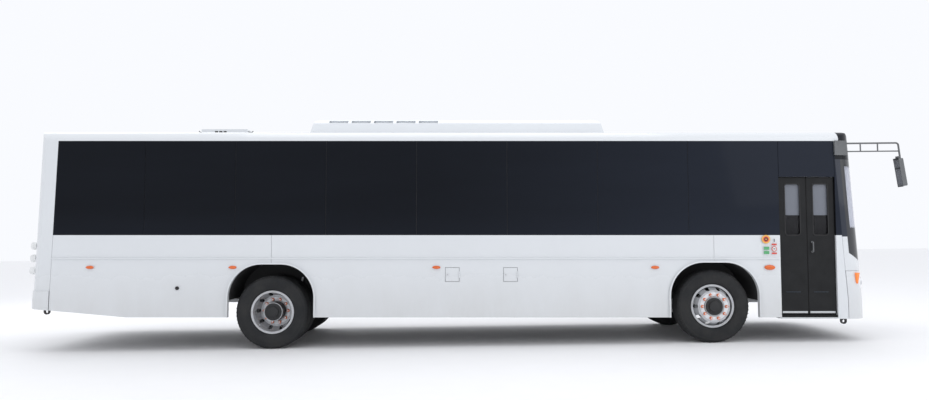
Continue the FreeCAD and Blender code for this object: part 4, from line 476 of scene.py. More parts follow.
# ---- modelling ----
class Piece:
    """A piece under way, modelled in the level frame; each finish is a material slot."""

    def __init__(self, name, *finishes):
        self.name, self.finishes = name, finishes
        self.bm = bmesh.new()

    def settle(self, verts, finish, matrix=None):
        """Gives new geometry its finish and place."""
        verts = [vert for vert in verts if vert.is_valid]
        if matrix is not None:
            bmesh.ops.transform(self.bm, matrix=matrix, verts=verts)
        for face in {face for vert in verts for face in vert.link_faces}:
            face.material_index = finish
        return verts

    def rounded(self, verts, width, segments):
        """Bevels the edges of new geometry and returns what that leaves."""
        edges = list({edge for vert in verts for edge in vert.link_edges})
        rest = bmesh.ops.bevel(self.bm, geom=edges, offset=width, offset_type="OFFSET", segments=segments,
                               profile=0.5, affect="EDGES", material=-1, clamp_overlap=True)
        faces = {face for vert in verts if vert.is_valid for face in vert.link_faces} | set(rest["faces"])
        return list({vert for face in faces for vert in face.verts} | set(rest["verts"]))

    def block(self, low, high, bevel=0.0, finish=0, segments=2, matrix=None):
        """A box between two corners, its edges rounded."""
        low, high = Vector(low), Vector(high)
        verts = bmesh.ops.create_cube(self.bm, size=1)["verts"]
        bmesh.ops.scale(self.bm, vec=high - low, verts=verts)
        if bevel:
            verts = self.rounded(verts, bevel, segments)
        bmesh.ops.translate(self.bm, vec=(low + high) / 2, verts=verts)
        return self.settle(verts, finish, matrix)

    def rod(self, start, end, radius, far=None, finish=0, segments=24, bevel=0.0):
        """A round bar or cone between two points."""
        start, end = Vector(start), Vector(end)
        verts = bmesh.ops.create_cone(self.bm, cap_ends=True, segments=segments, radius1=radius,
                                      radius2=radius if far is None else far,
                                      depth=(end - start).length)["verts"]
        if bevel:
            rims = [edge for edge in {e for vert in verts for e in vert.link_edges}
                    if any(len(face.verts) > 4 for face in edge.link_faces)]
            rest = bmesh.ops.bevel(self.bm, geom=rims, offset=bevel, offset_type="OFFSET", segments=2,
                                   profile=0.5, affect="EDGES", material=-1, clamp_overlap=True)
            verts = list({v for v in verts if v.is_valid} | set(rest["verts"]))
        turn = (end - start).to_track_quat("Z", "Y").to_matrix().to_4x4()
        return self.settle(verts, finish, Matrix.Translation((start + end) / 2) @ turn)

    def turned(self, profile, centre, axis="Y", steps=48, finish=0, closed=False):
        """A profile of radius and place along the axis, spun into a ring or disc."""
        along = {"X": Vector((1, 0, 0)), "Y": Vector((0, 1, 0)), "Z": Vector((0, 0, 1))}[axis]
        out = Vector((1, 0, 0)) if axis != "X" else Vector((0, 0, 1))
        centre = Vector(centre)
        chain = [self.bm.verts.new(centre + out * radius + along * place) for radius, place in profile]
        pairs = list(zip(chain, chain[1:])) + ([(chain[-1], chain[0])] if closed else [])
        edges = [self.bm.edges.new(pair) for pair in pairs]
        known = set(self.bm.verts) - set(chain)
        bmesh.ops.spin(self.bm, geom=chain + edges, cent=centre, axis=along, dvec=(0, 0, 0), angle=math.tau,
                       steps=steps, use_merge=True, use_normal_flip=False, use_duplicate=False)
        verts = [vert for vert in self.bm.verts if vert not in known]
        bmesh.ops.remove_doubles(self.bm, verts=verts, dist=1e-6)
        verts = [vert for vert in verts if vert.is_valid]
        faces = list({face for vert in verts for face in vert.link_faces})
        bmesh.ops.recalc_face_normals(self.bm, faces=faces)
        return self.settle(verts, finish)

    def slab(self, outline, thick, bevel=0.0, finish=0, segments=2, matrix=None):
        """A flat outline of points, drawn out along a thickness vector."""
        verts = [self.bm.verts.new(point) for point in outline]
        face = self.bm.faces.new(verts)
        grown = bmesh.ops.extrude_face_region(self.bm, geom=[face], use_keep_orig=True)["geom"]
        tops = [item for item in grown if isinstance(item, bmesh.types.BMVert)]
        bmesh.ops.translate(self.bm, vec=thick, verts=tops)
        verts += tops
        faces = list({face for vert in verts for face in vert.link_faces})
        bmesh.ops.recalc_face_normals(self.bm, faces=faces)
        if bevel:
            verts = self.rounded(verts, bevel, segments)
        return self.settle(verts, finish, matrix)

    def pipe(self, points, radius, bend=0.06, finish=0, detail=3):
        """A round tube along points, its corners bent."""
        points = [Vector(point) for point in points]
        route = [points[0]]
        for before, corner, after in zip(points, points[1:], points[2:]):
            back, on = (before - corner), (after - corner)
            route += [corner + back.normalized() * min(bend, back.length / 2), corner,
                      corner + on.normalized() * min(bend, on.length / 2)]
        route.append(points[-1])
        curve = bpy.data.curves.new("Route", "CURVE")
        curve.dimensions, curve.resolution_u, curve.use_fill_caps = "3D", 4, True
        curve.bevel_depth, curve.bevel_resolution = radius, detail
        spline = curve.splines.new("NURBS")
        spline.points.add(len(route) - 1)
        for point, place in zip(spline.points, route):
            point.co = (*place, 1)
        spline.order_u, spline.use_endpoint_u = 3, True
        holder = bpy.data.objects.new("Route", curve)
        bpy.context.scene.collection.objects.link(holder)
        mesh = bpy.data.meshes.new_from_object(holder.evaluated_get(bpy.context.evaluated_depsgraph_get()))
        known = set(self.bm.verts)
        self.bm.from_mesh(mesh)
        bpy.data.objects.remove(holder)
        bpy.data.curves.remove(curve)
        bpy.data.meshes.remove(mesh)
        return self.settle([vert for vert in self.bm.verts if vert not in known], finish)

    def again(self, verts, matrix):
        """A copy of some geometry at another place."""
        faces = list({face for vert in verts for face in vert.link_faces})
        edges = list({edge for face in faces for edge in face.edges})
        copies = bmesh.ops.duplicate(self.bm, geom=list(verts) + edges + faces)["geom"]
        new = [item for item in copies if isinstance(item, bmesh.types.BMVert)]
        bmesh.ops.transform(self.bm, matrix=matrix, verts=new)
        if matrix.determinant() < 0:
            turned_over = [item for item in copies if isinstance(item, bmesh.types.BMFace)]
            bmesh.ops.reverse_faces(self.bm, faces=turned_over)
        return new

    def done(self, body, replaces=(), angle=35.0):
        """Tips the piece into the stance and hands it to the body that carries it."""
        bmesh.ops.transform(self.bm, matrix=STANCE, verts=self.bm.verts[:])
        mesh = bpy.data.meshes.new(self.name)
        self.bm.to_mesh(mesh)
        self.bm.free()
        for finish in self.finishes:
            mesh.materials.append(Finish.made[finish])
        mesh.shade_smooth()
        piece = bpy.data.objects.new(self.name, mesh)
        bpy.context.scene.collection.objects.link(piece)
        with bpy.context.temp_override(object=piece, selected_editable_objects=[piece]):
            bpy.ops.object.shade_smooth_by_angle(angle=math.radians(angle))
        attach(piece, body)
        if replaces:
            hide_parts(*replaces)
        return piece


# ---- what a user would change ----
class BusLooks(bpy.types.PropertyGroup):
    """Colours of the bus."""

    body_colour: FloatVectorProperty(name="Body", description="Coach paint", subtype="COLOR", size=3,
                                     default=(0.705, 0.728, 0.752), min=0, max=1)
    glass_colour: FloatVectorProperty(name="Side glass", description="Tint of the bonded side glass",
                                      subtype="COLOR", size=3, default=(0.0032, 0.0043, 0.0072), min=0, max=1)
    # The windscreen's colour is painted light: the pale backdrop seen through its clear middle.
    screen_see_through_light: FloatVectorProperty(name="Windscreen", description="Tint of the windscreen",
                                       subtype="COLOR", size=3, default=(0.62, 0.64, 0.74), min=0, max=1)
    door_colour: FloatVectorProperty(name="Door", description="Door leaves and jambs", subtype="COLOR",
                                     size=3, default=(0.010, 0.0105, 0.0115), min=0, max=1)
    arm_colour: FloatVectorProperty(name="Mirror arms", description="Mirror arms and heads", subtype="COLOR",
                                    size=3, default=(0.12, 0.125, 0.13), min=0, max=1)
    # The door panes' upper colour is painted light: the far side's light seen through them.
    pane_see_through_light: FloatVectorProperty(name="Door panes", description="Upper part of the door panes",
                                     subtype="COLOR", size=3, default=(0.20, 0.215, 0.25), min=0, max=1)
    seat_colour: FloatVectorProperty(name="Seats", description="Passenger seat shells", subtype="COLOR",
                                     size=3, default=(0.05, 0.10, 0.24), min=0, max=1)
    wheel_colour: FloatVectorProperty(name="Wheels", description="Wheel paint", subtype="COLOR", size=3,
                                      default=(0.50, 0.51, 0.53), min=0, max=1)


class BusTrim(bpy.types.PropertyGroup):
    """Sizes and places of the trim."""

    bead_height: FloatProperty(name="Belt bead height", description="Height of the bead along the sides",
                               default=1.225, unit="LENGTH")
    bead_proud: FloatProperty(name="Bead depth", description="How far the bead stands out of the skin",
                              default=0.004, unit="LENGTH")
    arch_lip: FloatProperty(name="Arch lip", description="Width of the rolled edge round a wheel arch",
                            default=0.022, unit="LENGTH")
    nut_count: IntProperty(name="Wheel nuts", description="Nuts on a wheel", default=10, min=5, max=12)
    nut_circle: FloatProperty(name="Nut circle", description="Radius of the nuts' circle", default=0.1675,
                              unit="LENGTH")
    tread_ribs: IntProperty(name="Tread ribs", description="Ribs round a tyre", default=5, min=3, max=7)
    wiper_length: FloatProperty(name="Wiper blade", description="Length of a wiper blade", default=0.75,
                                unit="LENGTH")


def trim():
    """The sizes and places that the user has set."""
    return bpy.context.scene.bus_trim


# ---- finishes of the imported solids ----
NODE_FINISHES = {
    "coach_white": ("right_side_panels", "left_side_panels", "rear_wall", "rear_bumper", "front_panel",
                    "front_bumper", "engine_flap", "fuel_flap", "service_flap"),
    "roof_white": ("roof_shell", "roof_hatch"),
    # The roof unit's finish is the lighter copy of the body paint, which is painted light.
    "painted_lit_unit_white": ("roof_air_conditioner",),
    "ribbon_glass": ("right_side_glass", "left_side_glass", "rear_window"),
    "header_paint": ("front_header",),
    "windscreen_glass": ("windscreen",),
    "door_paint": ("door_rear_leaf", "door_front_leaf"),
    "door_surround": ("door_frame",),
    "door_pane": ("door_rear_glass", "door_front_glass"),
    "black_plastic": ("right_window_frame", "left_window_frame"),
    "arch_black": ("wheel_arch_liners",),
    "grey_plastic": ("mirrors",),
    "chassis_black": ("chassis_frame", "front_axle", "rear_axle", "left_steering_knuckle",
                      "right_steering_knuckle"),
    "engine_iron": ("engine_block",),
    "floor_covering": ("floor_pan",),
    "dashboard_skin": ("dashboard", "steering_wheel"),
    "seat_shell": ("passenger_seats", "driver_seat"),
    "tyre_rubber": ("front_left_tyre", "front_right_tyre", "rear_left_tyres", "rear_right_tyres"),
    "wheel_silver": ("front_left_rim", "front_right_rim", "rear_left_rims", "rear_right_rims"),
    "sign_white": ("rear_lamps",),
    "clear_lens": ("front_lamps",),
}


class CITYBUS_OT_finishes(bpy.types.Operator):
    """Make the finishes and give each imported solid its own"""
    bl_idname = "citybus.finishes"
    bl_label = "Finishes"
    bl_options = {"REGISTER", "UNDO"}

    def execute(self, context):
        make_finishes(bpy.context.scene.bus_looks)
        for finish, nodes in NODE_FINISHES.items():
            for node in nodes:
                slots = frame["nodes"][node].data.materials
                slots.clear()
                slots.append(Finish.made[finish])
        return {"FINISHED"}


# ---- wheels ----
WHEELS = (  # body, joint, tyre node, side, twin
    ("front_left_wheel", "front_left_roll", "front_left_tyre", 1, False),
    ("front_right_wheel", "front_right_roll", "front_right_tyre", -1, False),
    ("rear_left_wheels", "rear_left_roll", "rear_left_tyres", 1, True),
    ("rear_right_wheels", "rear_right_roll", "rear_right_tyres", -1, True),
)
TYRE_WIDTH, TWIN_PITCH, RIM_HALF = 0.275, 0.32, 0.105


def tyre_profile(outer, half, ribs):
    """Half round a tyre's section and back: side wall, shoulder, and ribs with grooves between them."""
    wall = [(0.290, -0.0915), (0.3045, -0.0915), (0.312, -0.110), (0.330, -0.126), (0.345, -0.1285),
            (0.352, -0.1325), (0.405, -half), (0.447, -half + 0.0015), (0.455, -half + 0.005),
            (0.470, -half + 0.0035), (0.486, -half + 0.012), (outer - 0.010, -half + 0.021),
            (outer - 0.002, -half + 0.034)]
    tread = []
    rib = (2 * (half - 0.036)) / ribs
    for number in range(ribs):
        start = -half + 0.036 + number * rib
        tread += [(outer, start + 0.006), (outer, start + rib - 0.006)]
        if number < ribs - 1:
            tread += [(outer - 0.014, start + rib - 0.004), (outer - 0.014, start + rib + 0.004)]
    return wall + tread + [(radius, -place) for radius, place in reversed(wall)]


class CITYBUS_OT_tyres(bpy.types.Operator):
    """Tyres with side-wall rings, rounded shoulders, ribs and shoulder blocks"""
    bl_idname = "citybus.tyres"
    bl_label = "Tyres"
    bl_options = {"REGISTER", "UNDO"}

    def execute(self, context):
        for body, joint, node, side, twin in WHEELS:
            piece = Piece(body + "_tyre_tread", "tyre_rubber")
            low, high = level_box(node)
            hub = level_joint(joint)
            outer = (high.z - low.z) / 2 - 0.0008
            face = high.y if side > 0 else low.y
            for number in range(2 if twin else 1):
                middle = face - side * (TYRE_WIDTH / 2 + number * TWIN_PITCH)
                centre = (hub.x, middle, hub.z)
                piece.turned(tyre_profile(outer, TYRE_WIDTH / 2, trim().tread_ribs), centre, steps=120,
                             closed=True)
                self.shoulder_blocks(piece, centre, outer)
            piece.done(body, (node,), angle=30)
        return {"FINISHED"}

    def shoulder_blocks(self, piece, centre, outer):
        """Short bars across both shoulders, as the tread's edge blocks."""
        for end in (-1, 1):
            place = end * (TYRE_WIDTH / 2 - 0.0165)
            low = (-0.0055, place - 0.011, outer - 0.026)
            high = (0.0055, place + 0.011, outer - 0.0045)
            bar = piece.block(low, high, 0.002, segments=1)
            shoulder = Matrix.Translation((0, place, outer - 0.014))
            tilt = shoulder @ Matrix.Rotation(end * -0.75, 4, "X") @ shoulder.inverted()
            bmesh.ops.transform(piece.bm, matrix=tilt, verts=bar)
            for number in range(60):
                turn = Matrix.Translation(Vector(centre)) @ Matrix.Rotation(math.tau * number / 60, 4, "Y")
                piece.again(bar, turn)
            bmesh.ops.delete(piece.bm, geom=bar, context="VERTS")


class CITYBUS_OT_wheel_fittings(bpy.types.Operator):
    """Nut rings, wheel nuts with their indicators, hub caps and valves"""
    bl_idname = "citybus.wheel_fittings"
    bl_label = "Wheel fittings"
    bl_options = {"REGISTER", "UNDO"}

    def execute(self, context):
        for body, joint, node, side, twin in WHEELS:
            low, high = level_box(node)
            hub = level_joint(joint)
            face = (high.y if side > 0 else low.y)
            middle = face - side * TYRE_WIDTH / 2
            nut_face = middle + side * ((0.012 - TWIN_PITCH / 2) if twin else (TYRE_WIDTH / 2 + 0.025))
            self.fit(body, Vector((hub.x, nut_face, hub.z)), middle, side, twin)
        return {"FINISHED"}

    def fit(self, body, centre, middle, side, twin):
        """Everything on one wheel's outer face."""
        count, circle = trim().nut_count, trim().nut_circle
        piece = Piece(body + "_nuts", "nut_ring", "bright_steel", "amber_tip", "hub_black", "black_rubber")
        turned = Matrix.Diagonal((1, side, 1, 1))
        ring = [(0.1405, 0.0), (0.1405, 0.005), (0.145, 0.008), (0.190, 0.008), (0.1965, 0.005),
                (0.1965, 0.0)]
        piece.turned([(r, p * side) for r, p in ring], centre, steps=72)
        nut = self.nut(piece)
        for number in range(count):
            turn = Matrix.Rotation(math.tau * (number + 0.5) / count, 4, "Y")
            place = Matrix.Translation(centre) @ turned @ turn @ Matrix.Translation((0, 0.008, circle))
            piece.again(nut, place)
        bmesh.ops.delete(piece.bm, geom=nut, context="VERTS")
        hub_end = (middle + side * RIM_HALF / 2 - centre.y) * side if twin else 0.012
        cap = [(0.0, hub_end + 0.030), (0.060, hub_end + 0.030), (0.074, hub_end + 0.024),
               (0.076, hub_end + 0.006),
               (0.108, hub_end + 0.005), (0.122, hub_end + 0.001), (0.1318, hub_end - 0.008), (0.1318, 0.002)]
        piece.turned([(r, p * side) for r, p in cap], centre, steps=64, finish=3)
        for number in range(8):
            turn = Matrix.Rotation(math.tau * number / 8, 4, "Y")
            at = centre + turned @ (turn @ Vector((0, hub_end, 0.093)))
            piece.rod(at, at + Vector((0, side * 0.013, 0)), 0.0085, finish=3, segments=6)
        rim_edge = middle + side * (RIM_HALF - 0.002)
        start = Vector((centre.x - 0.19, rim_edge - side * 0.03, centre.z - 0.19))
        piece.pipe([start, start + Vector((0.008, side * 0.045, 0.008)),
                    start + Vector((0.022, side * 0.05, 0.022))],
                   0.0045, 0.01, finish=1)
        piece.done(body)

    def nut(self, piece):
        """One nut on its washer, with the stud's end and an indicator tip, pointing along +Y."""
        washer = piece.rod((0, 0, 0), (0, 0.004, 0), 0.023, finish=1, segments=20)
        body = piece.rod((0, 0.004, 0), (0, 0.024, 0), 0.0185, 0.0175, finish=1, segments=6)
        stud = piece.rod((0, 0.024, 0), (0, 0.038, 0), 0.0105, finish=1, segments=12)
        tip = piece.rod((0, 0.018, 0), (0, 0.026, 0), 0.0215, 0.017, finish=2, segments=12)
        flag = piece.slab([(-0.010, 0.0262, 0.004), (0.010, 0.0262, 0.004), (0.0, 0.0262, 0.034)],
                          (0, 0.004, 0), finish=2)
        return [vert for verts in (washer, body, stud, tip, flag) for vert in verts]


# ---- sides ----
ARCHES = (("rear", -2.53, 1.204, 1.144), ("front", 3.67, 1.240, 1.170))  # axle place, width, top
ARCH_RADIUS = 0.465


def arch_outline(axle, width, high, grow):
    """Points round a wheel arch's edge, grown outwards."""
    half, radius = width / 2 + grow, ARCH_RADIUS + grow
    points = [(axle - half, SILL)]
    for centre, start in ((axle - width / 2 + ARCH_RADIUS, math.pi),
                          (axle + width / 2 - ARCH_RADIUS, math.pi / 2)):
        for step in range(13):
            angle = start - step * math.pi / 24
            points.append((centre + radius * math.cos(angle), high - ARCH_RADIUS + radius * math.sin(angle)))
    return points + [(axle + half, SILL)]


class CITYBUS_OT_arch_lips(bpy.types.Operator):
    """Rolled edges round the wheel arches"""
    bl_idname = "citybus.arch_lips"
    bl_label = "Wheel arch lips"
    bl_options = {"REGISTER", "UNDO"}

    def execute(self, context):
        skin = -level_box("right_side_panels")[0].y
        for name, axle, width, high in ARCHES:
            piece = Piece(name + "_arch_lips", "coach_white", "black_rubber")
            inner = arch_outline(axle, width, high, 0.0)
            outer = arch_outline(axle, width, high, trim().arch_lip)
            for side in SIDES:
                rows = []
                for points, depth in ((inner, -0.045), (inner, 0.0), (outer, 0.0)):
                    rows.append([piece.bm.verts.new((x, side * (skin + depth), z)) for x, z in points])
                edges = [[piece.bm.edges.new(pair) for pair in zip(row, row[1:])] for row in rows]
                for first, second in zip(edges, edges[1:]):
                    bmesh.ops.bridge_loops(piece.bm, edges=first + second)
            faces = piece.bm.faces[:]
            bmesh.ops.recalc_face_normals(piece.bm, faces=faces)
            bmesh.ops.solidify(piece.bm, geom=faces, thickness=-0.0025)
            piece.done(BUS)
        return {"FINISHED"}


MARKERS = (  # place along the side, length, height
    (-5.060, 0.114, 0.046), (-3.065, 0.114, 0.046), (-0.218, 0.114, 0.046), (2.838, 0.114, 0.046),
    (4.440, 0.150, 0.070),
)


class CITYBUS_OT_side_trim(bpy.types.Operator):
    """Belt beads, side marker lamps and the breather ports"""
    bl_idname = "citybus.side_trim"
    bl_label = "Side trim"
    bl_options = {"REGISTER", "UNDO"}

    def execute(self, context):
        low, high = level_box("right_side_panels")
        skin = -low.y
        piece = Piece("belt_beads", "coach_white")
        depth, z = trim().bead_proud, trim().bead_height
        for side in SIDES:
            front = high.x if side < 0 else level_box("left_side_panels")[1].x
            outline = [(low.x + 0.01, side * skin, z - 0.010),
                       (low.x + 0.01, side * (skin + depth * 0.4), z - 0.009),
                       (low.x + 0.01, side * (skin + depth), z + 0.004),
                       (low.x + 0.01, side * skin, z + 0.010)]
            piece.slab(outline, (front - low.x - 0.02, 0, 0))
        piece.done(BUS)
        self.markers(skin)
        self.port(skin)
        return {"FINISHED"}

    def markers(self, skin):
        """Domed amber lamps along both sides, drawn out into ovals."""
        piece = Piece("side_marker_lamps", "marker_lens")
        for side in SIDES:
            for place, wide, tall in MARKERS:
                radius = tall / 2
                curve = [(0.0, 0.012), (radius * 0.5, 0.011), (radius * 0.85, 0.007), (radius, 0.0)]
                dome = piece.turned([(r, side * p) for r, p in curve], (place, side * skin, 1.10), steps=40)
                bmesh.ops.scale(piece.bm, vec=(wide / tall, 1, 1), verts=dome,
                                space=Matrix.Translation((-place, 0, 0)))
        piece.done(BUS)

    def port(self, skin):
        """A small round port low in each side."""
        piece = Piece("breather_ports", "black_rubber", "chassis_black")
        for side in SIDES:
            centre = (-3.837, side * skin, 0.811)
            rim = [(0.0, 0.002), (0.017, 0.002), (0.020, 0.004), (0.024, 0.003), (0.025, 0.0), (0.025, -0.02)]
            piece.turned([(r, side * p) for r, p in rim], centre, steps=32)
        piece.done(BUS)


class CITYBUS_OT_flap_locks(bpy.types.Operator):
    """Round locks on the fuel and service flaps"""
    bl_idname = "citybus.flap_locks"
    bl_label = "Flap locks"
    bl_options = {"REGISTER", "UNDO"}

    def execute(self, context):
        for node, body in (("fuel_flap", "fuel_lid"), ("service_flap", "service_lid")):
            low, high = level_box(node)
            piece = Piece(node + "_lock", "bright_steel", "black_rubber")
            centre = (low.x + 0.028, low.y, (low.z + high.z) / 2)
            piece.turned([(0.0, -0.003), (0.009, -0.003), (0.011, -0.002), (0.012, 0.0)], centre, steps=24)
            piece.block((centre[0] - 0.0015, low.y - 0.0036, centre[2] - 0.006),
                        (centre[0] + 0.0015, low.y - 0.002, centre[2] + 0.006), finish=1)
            piece.done(body)
        return {"FINISHED"}


class CITYBUS_OT_signs(bpy.types.Operator):
    """Blank coloured plates beside the door"""
    bl_idname = "citybus.signs"
    bl_label = "Blank signs"
    bl_options = {"REGISTER", "UNDO"}

    def execute(self, context):
        skin = -level_box("right_side_panels")[0].y
        piece = Piece("blank_signs", "sign_yellow", "sign_green", "sign_red", "sign_white", "black_plastic")

        def disc(x, z, radius, finish, proud):
            piece.turned([(0.0, -proud), (radius - 0.0005, -proud), (radius, 0.0)], (x, -skin, z), steps=40,
                         finish=finish)

        def plate(x, z, wide, tall, finish, proud=0.0008):
            piece.block((x - wide / 2, -skin - proud, z - tall / 2),
                        (x + wide / 2, -skin + 0.001, z + tall / 2), 0.0003, finish, 1)

        disc(4.395, 1.493, 0.060, 0, 0.0008)
        disc(4.395, 1.493, 0.040, 2, 0.0012)
        disc(4.395, 1.493, 0.026, 4, 0.0016)
        disc(4.395, 1.493, 0.010, 0, 0.0020)
        for height in (1.367, 1.307):
            plate(4.400, height, 0.074, 0.042, 1)
        for height in (1.420, 1.296):
            plate(4.508, height, 0.070, 0.022, 2)
        disc(4.508, 1.358, 0.036, 2, 0.0008)
        disc(4.508, 1.358, 0.027, 3, 0.0012)
        plate(4.508, 1.358, 0.030, 0.012, 4, 0.0016)
        plate(4.510, 1.478, 0.012, 0.040, 4)
        piece.done(BUS)
        return {"FINISHED"}


# ---- door ----
class CITYBUS_OT_door_fittings(bpy.types.Operator):
    """Rubber edges, window seals, kick strips, grab handles and the white sill of the entrance door"""
    bl_idname = "citybus.door_fittings"
    bl_label = "Door fittings"
    bl_options = {"REGISTER", "UNDO"}

    def execute(self, context):
        for name, body, inner_edge in (("door_rear", "rear_leaf", 1), ("door_front", "front_leaf", -1)):
            low, high = level_box(name + "_leaf")
            pane_low, pane_high = level_box(name + "_glass")
            face = low.y
            meeting = pane_high.x + 0.082 if inner_edge > 0 else pane_low.x - 0.082
            hinge = pane_low.x - 0.065 if inner_edge > 0 else pane_high.x + 0.065
            piece = Piece(name + "_fittings", "black_rubber", "kick_strip", "bright_steel", "black_plastic",
                          "door_rib", "coach_white", "grey_plastic")
            self.seal(piece, pane_low, pane_high, face)
            edge = (meeting - inner_edge * 0.002, meeting + inner_edge * 0.0055)
            piece.block((min(edge), face + 0.006, low.z + 0.045), (max(edge), face + 0.040, high.z - 0.045),
                        0.002)
            left, right = sorted((meeting - inner_edge * 0.010, hinge))
            piece.block((left, face - 0.004, low.z + 0.052), (right, face + 0.001, low.z + 0.080), 0.0015, 1)
            piece.block((left, face - 0.003, low.z + 0.002), (right, face + 0.001, low.z + 0.016), 0.001, 5)
            piece.block((left + 0.06, face - 0.003, low.z + 0.343),
                        (right - 0.09, face + 0.001, low.z + 0.352), 0.0015, 4)
            if inner_edge < 0:
                x = meeting + 0.062
                bottom, top = 1.318, 1.452
                out = face - 0.034
                piece.pipe([(x, face, bottom), (x, out, bottom), (x, out, top), (x, face, top)], 0.009, 0.025,
                           finish=6)
                for z in (bottom, top):
                    piece.turned([(0.0, -0.004), (0.014, -0.004), (0.016, 0.0)], (x, face, z), steps=24,
                                 finish=6)
            inner_face = face + 0.044
            piece.pipe([(left + 0.03, inner_face, 1.05), (left + 0.03, inner_face + 0.030, 1.05),
                        (right - 0.03, inner_face + 0.030, 1.45), (right - 0.03, inner_face, 1.45)],
                       0.010, 0.025, finish=2)
            piece.done(body)
        self.sill()
        return {"FINISHED"}

    def sill(self):
        """The white strip under both leaves, flush with the side."""
        rear, front = level_box("door_rear_leaf")[0], level_box("door_front_leaf")[1]
        low = level_box("right_side_panels")[0]
        piece = Piece("door_sill", "coach_white")
        piece.block((rear.x, low.y + 0.001, low.z + 0.002), (front.x, low.y + 0.012, rear.z - 0.006), 0.002)
        piece.done(BUS)

    def seal(self, piece, low, high, face):
        """A rubber frame round the door pane, on the leaf's outer face."""
        wide, proud = 0.016, 0.004
        outline = piece.block((low.x - wide / 2, face - proud, low.z - wide / 2),
                              (high.x + wide / 2, face + 0.006, high.z + wide / 2))
        corners = [edge for edge in {e for v in outline for e in v.link_edges}
                   if abs((edge.verts[0].co - edge.verts[1].co).y) > 0.005]
        bmesh.ops.bevel(piece.bm, geom=corners, offset=0.05, offset_type="OFFSET", segments=6, profile=0.5,
                        affect="EDGES", material=-1, clamp_overlap=True)
        caps = [f for f in piece.bm.faces if len(f.verts) > 10]
        bmesh.ops.inset_region(piece.bm, faces=caps, thickness=wide, depth=0.0)
        bmesh.ops.delete(piece.bm, geom=caps, context="FACES")
        open_edges = [edge for edge in piece.bm.edges if edge.is_boundary]
        bmesh.ops.bridge_loops(piece.bm, edges=open_edges)


# ---- roof ----
class CITYBUS_OT_roof_unit(bpy.types.Operator):
    """Screws along the foot of the roof unit, and the fan guards in its top"""
    bl_idname = "citybus.roof_unit"
    bl_label = "Roof unit"
    bl_options = {"REGISTER", "UNDO"}

    def execute(self, context):
        low, high = level_box("roof_air_conditioner")
        piece = Piece("roof_unit_fittings", "black_plastic", "bright_steel", "roof_white", "black_rubber")
        self.screws(piece, low, high)
        self.fans(piece, low, high)
        piece.done(BUS)
        return {"FINISHED"}

    def screws(self, piece, low, high):
        """Screws along the foot of both long sides."""
        for number in range(8):
            x = low.x + 0.18 + number * (high.x - low.x - 0.36) / 7
            for side in SIDES:
                centre = (x, side * (high.y - 0.012), low.z + 0.118)
                piece.turned([(0.0, side * 0.009), (0.006, side * 0.009), (0.009, side * 0.006),
                              (0.009, -side * 0.01)],
                             centre, steps=16, finish=1)

    def fans(self, piece, low, high):
        """Fan guards in the top, three along each side of the middle, each with a rim, a black disc, rings and
        spokes.
        """
        for x in (low.x + 0.95, low.x + 1.65, low.x + 2.35):
            for y in (-0.36, 0.36):
                top = high.z - 0.0035
                rim = [(0.262, -0.002), (0.262, 0.002), (0.250, 0.003), (0.240, 0.0)]
                piece.turned(rim, (x, y, top), "Z", 48, 0)
                piece.turned([(0.0, -0.001), (0.240, -0.001)], (x, y, top), "Z", 48, 0)
                for radius in (0.06, 0.12, 0.18, 0.225):
                    piece.turned([(radius - 0.002, 0.0), (radius, 0.002), (radius + 0.002, 0.0)], (x, y, top),
                                 "Z", 48, 1)
                for number in range(4):
                    turn = Matrix.Translation((x, y, top)) @ Matrix.Rotation(number * math.pi / 4, 4, "Z")
                    piece.block((-0.245, -0.003, 0.0), (0.245, 0.003, 0.002), 0.0005, 1, 1, turn)


class CITYBUS_OT_hatch_fittings(bpy.types.Operator):
    """Black blocks as painted shade for the slots in the roof hatch, and the hooks at its ends"""
    bl_idname = "citybus.hatch_fittings"
    bl_label = "Roof hatch fittings"
    bl_options = {"REGISTER", "UNDO"}

    def execute(self, context):
        low, high = level_box("roof_hatch")
        piece = Piece("roof_hatch_fittings", "black_plastic", "black_rubber")
        for side in SIDES:
            # Each slot is a black block: painted shade for its opening.
            for number in range(3):
                x = low.x + 0.205 + number * 0.066
                piece.block((x, side * high.y - 0.004, high.z - 0.050),
                            (x + 0.048, side * high.y + 0.004, high.z - 0.030), 0.0015, 0)
            for x, along in ((low.x, -1), (high.x, 1)):
                piece.pipe([(x - along * 0.02, side * (high.y - 0.06), high.z - 0.030),
                            (x + along * 0.035, side * (high.y - 0.06), high.z - 0.045),
                            (x + along * 0.060, side * (high.y - 0.06), high.z - 0.020)], 0.006, 0.02, 1)
        piece.done("hatch")
        return {"FINISHED"}


# ---- mirrors ----
class CITYBUS_OT_mirror_fittings(bpy.types.Operator):
    """Mirror glass with its rim, and clamps on the arms"""
    bl_idname = "citybus.mirror_fittings"
    bl_label = "Mirror fittings"
    bl_options = {"REGISTER", "UNDO"}

    def execute(self, context):
        piece = Piece("mirror_fittings", "mirror_face", "black_plastic", "grey_plastic")
        lean = Matrix.Rotation(math.radians(-8), 4, "Y")
        for side in SIDES:
            top = Vector((6.260, side * 1.300, 2.627))
            place = Matrix.Translation(top) @ lean
            piece.block((-0.0335, -0.056, -0.365), (-0.0305, 0.056, -0.150), 0.001, 0, 1, place)
            piece.block((-0.0335, -0.056, -0.135), (-0.0305, 0.056, -0.030), 0.001, 0, 1, place)
            for foot, head in ((-0.022, 0.003), (-0.152, -0.128), (-0.402, -0.387)):
                piece.block((-0.0350, -0.061, foot), (-0.0290, 0.061, head), 0.002, 1, 2, place)
            piece.block((-0.020, -0.030, -0.005), (0.022, 0.030, 0.030), 0.006, 2, 2, place)
        piece.done(BUS)
        return {"FINISHED"}


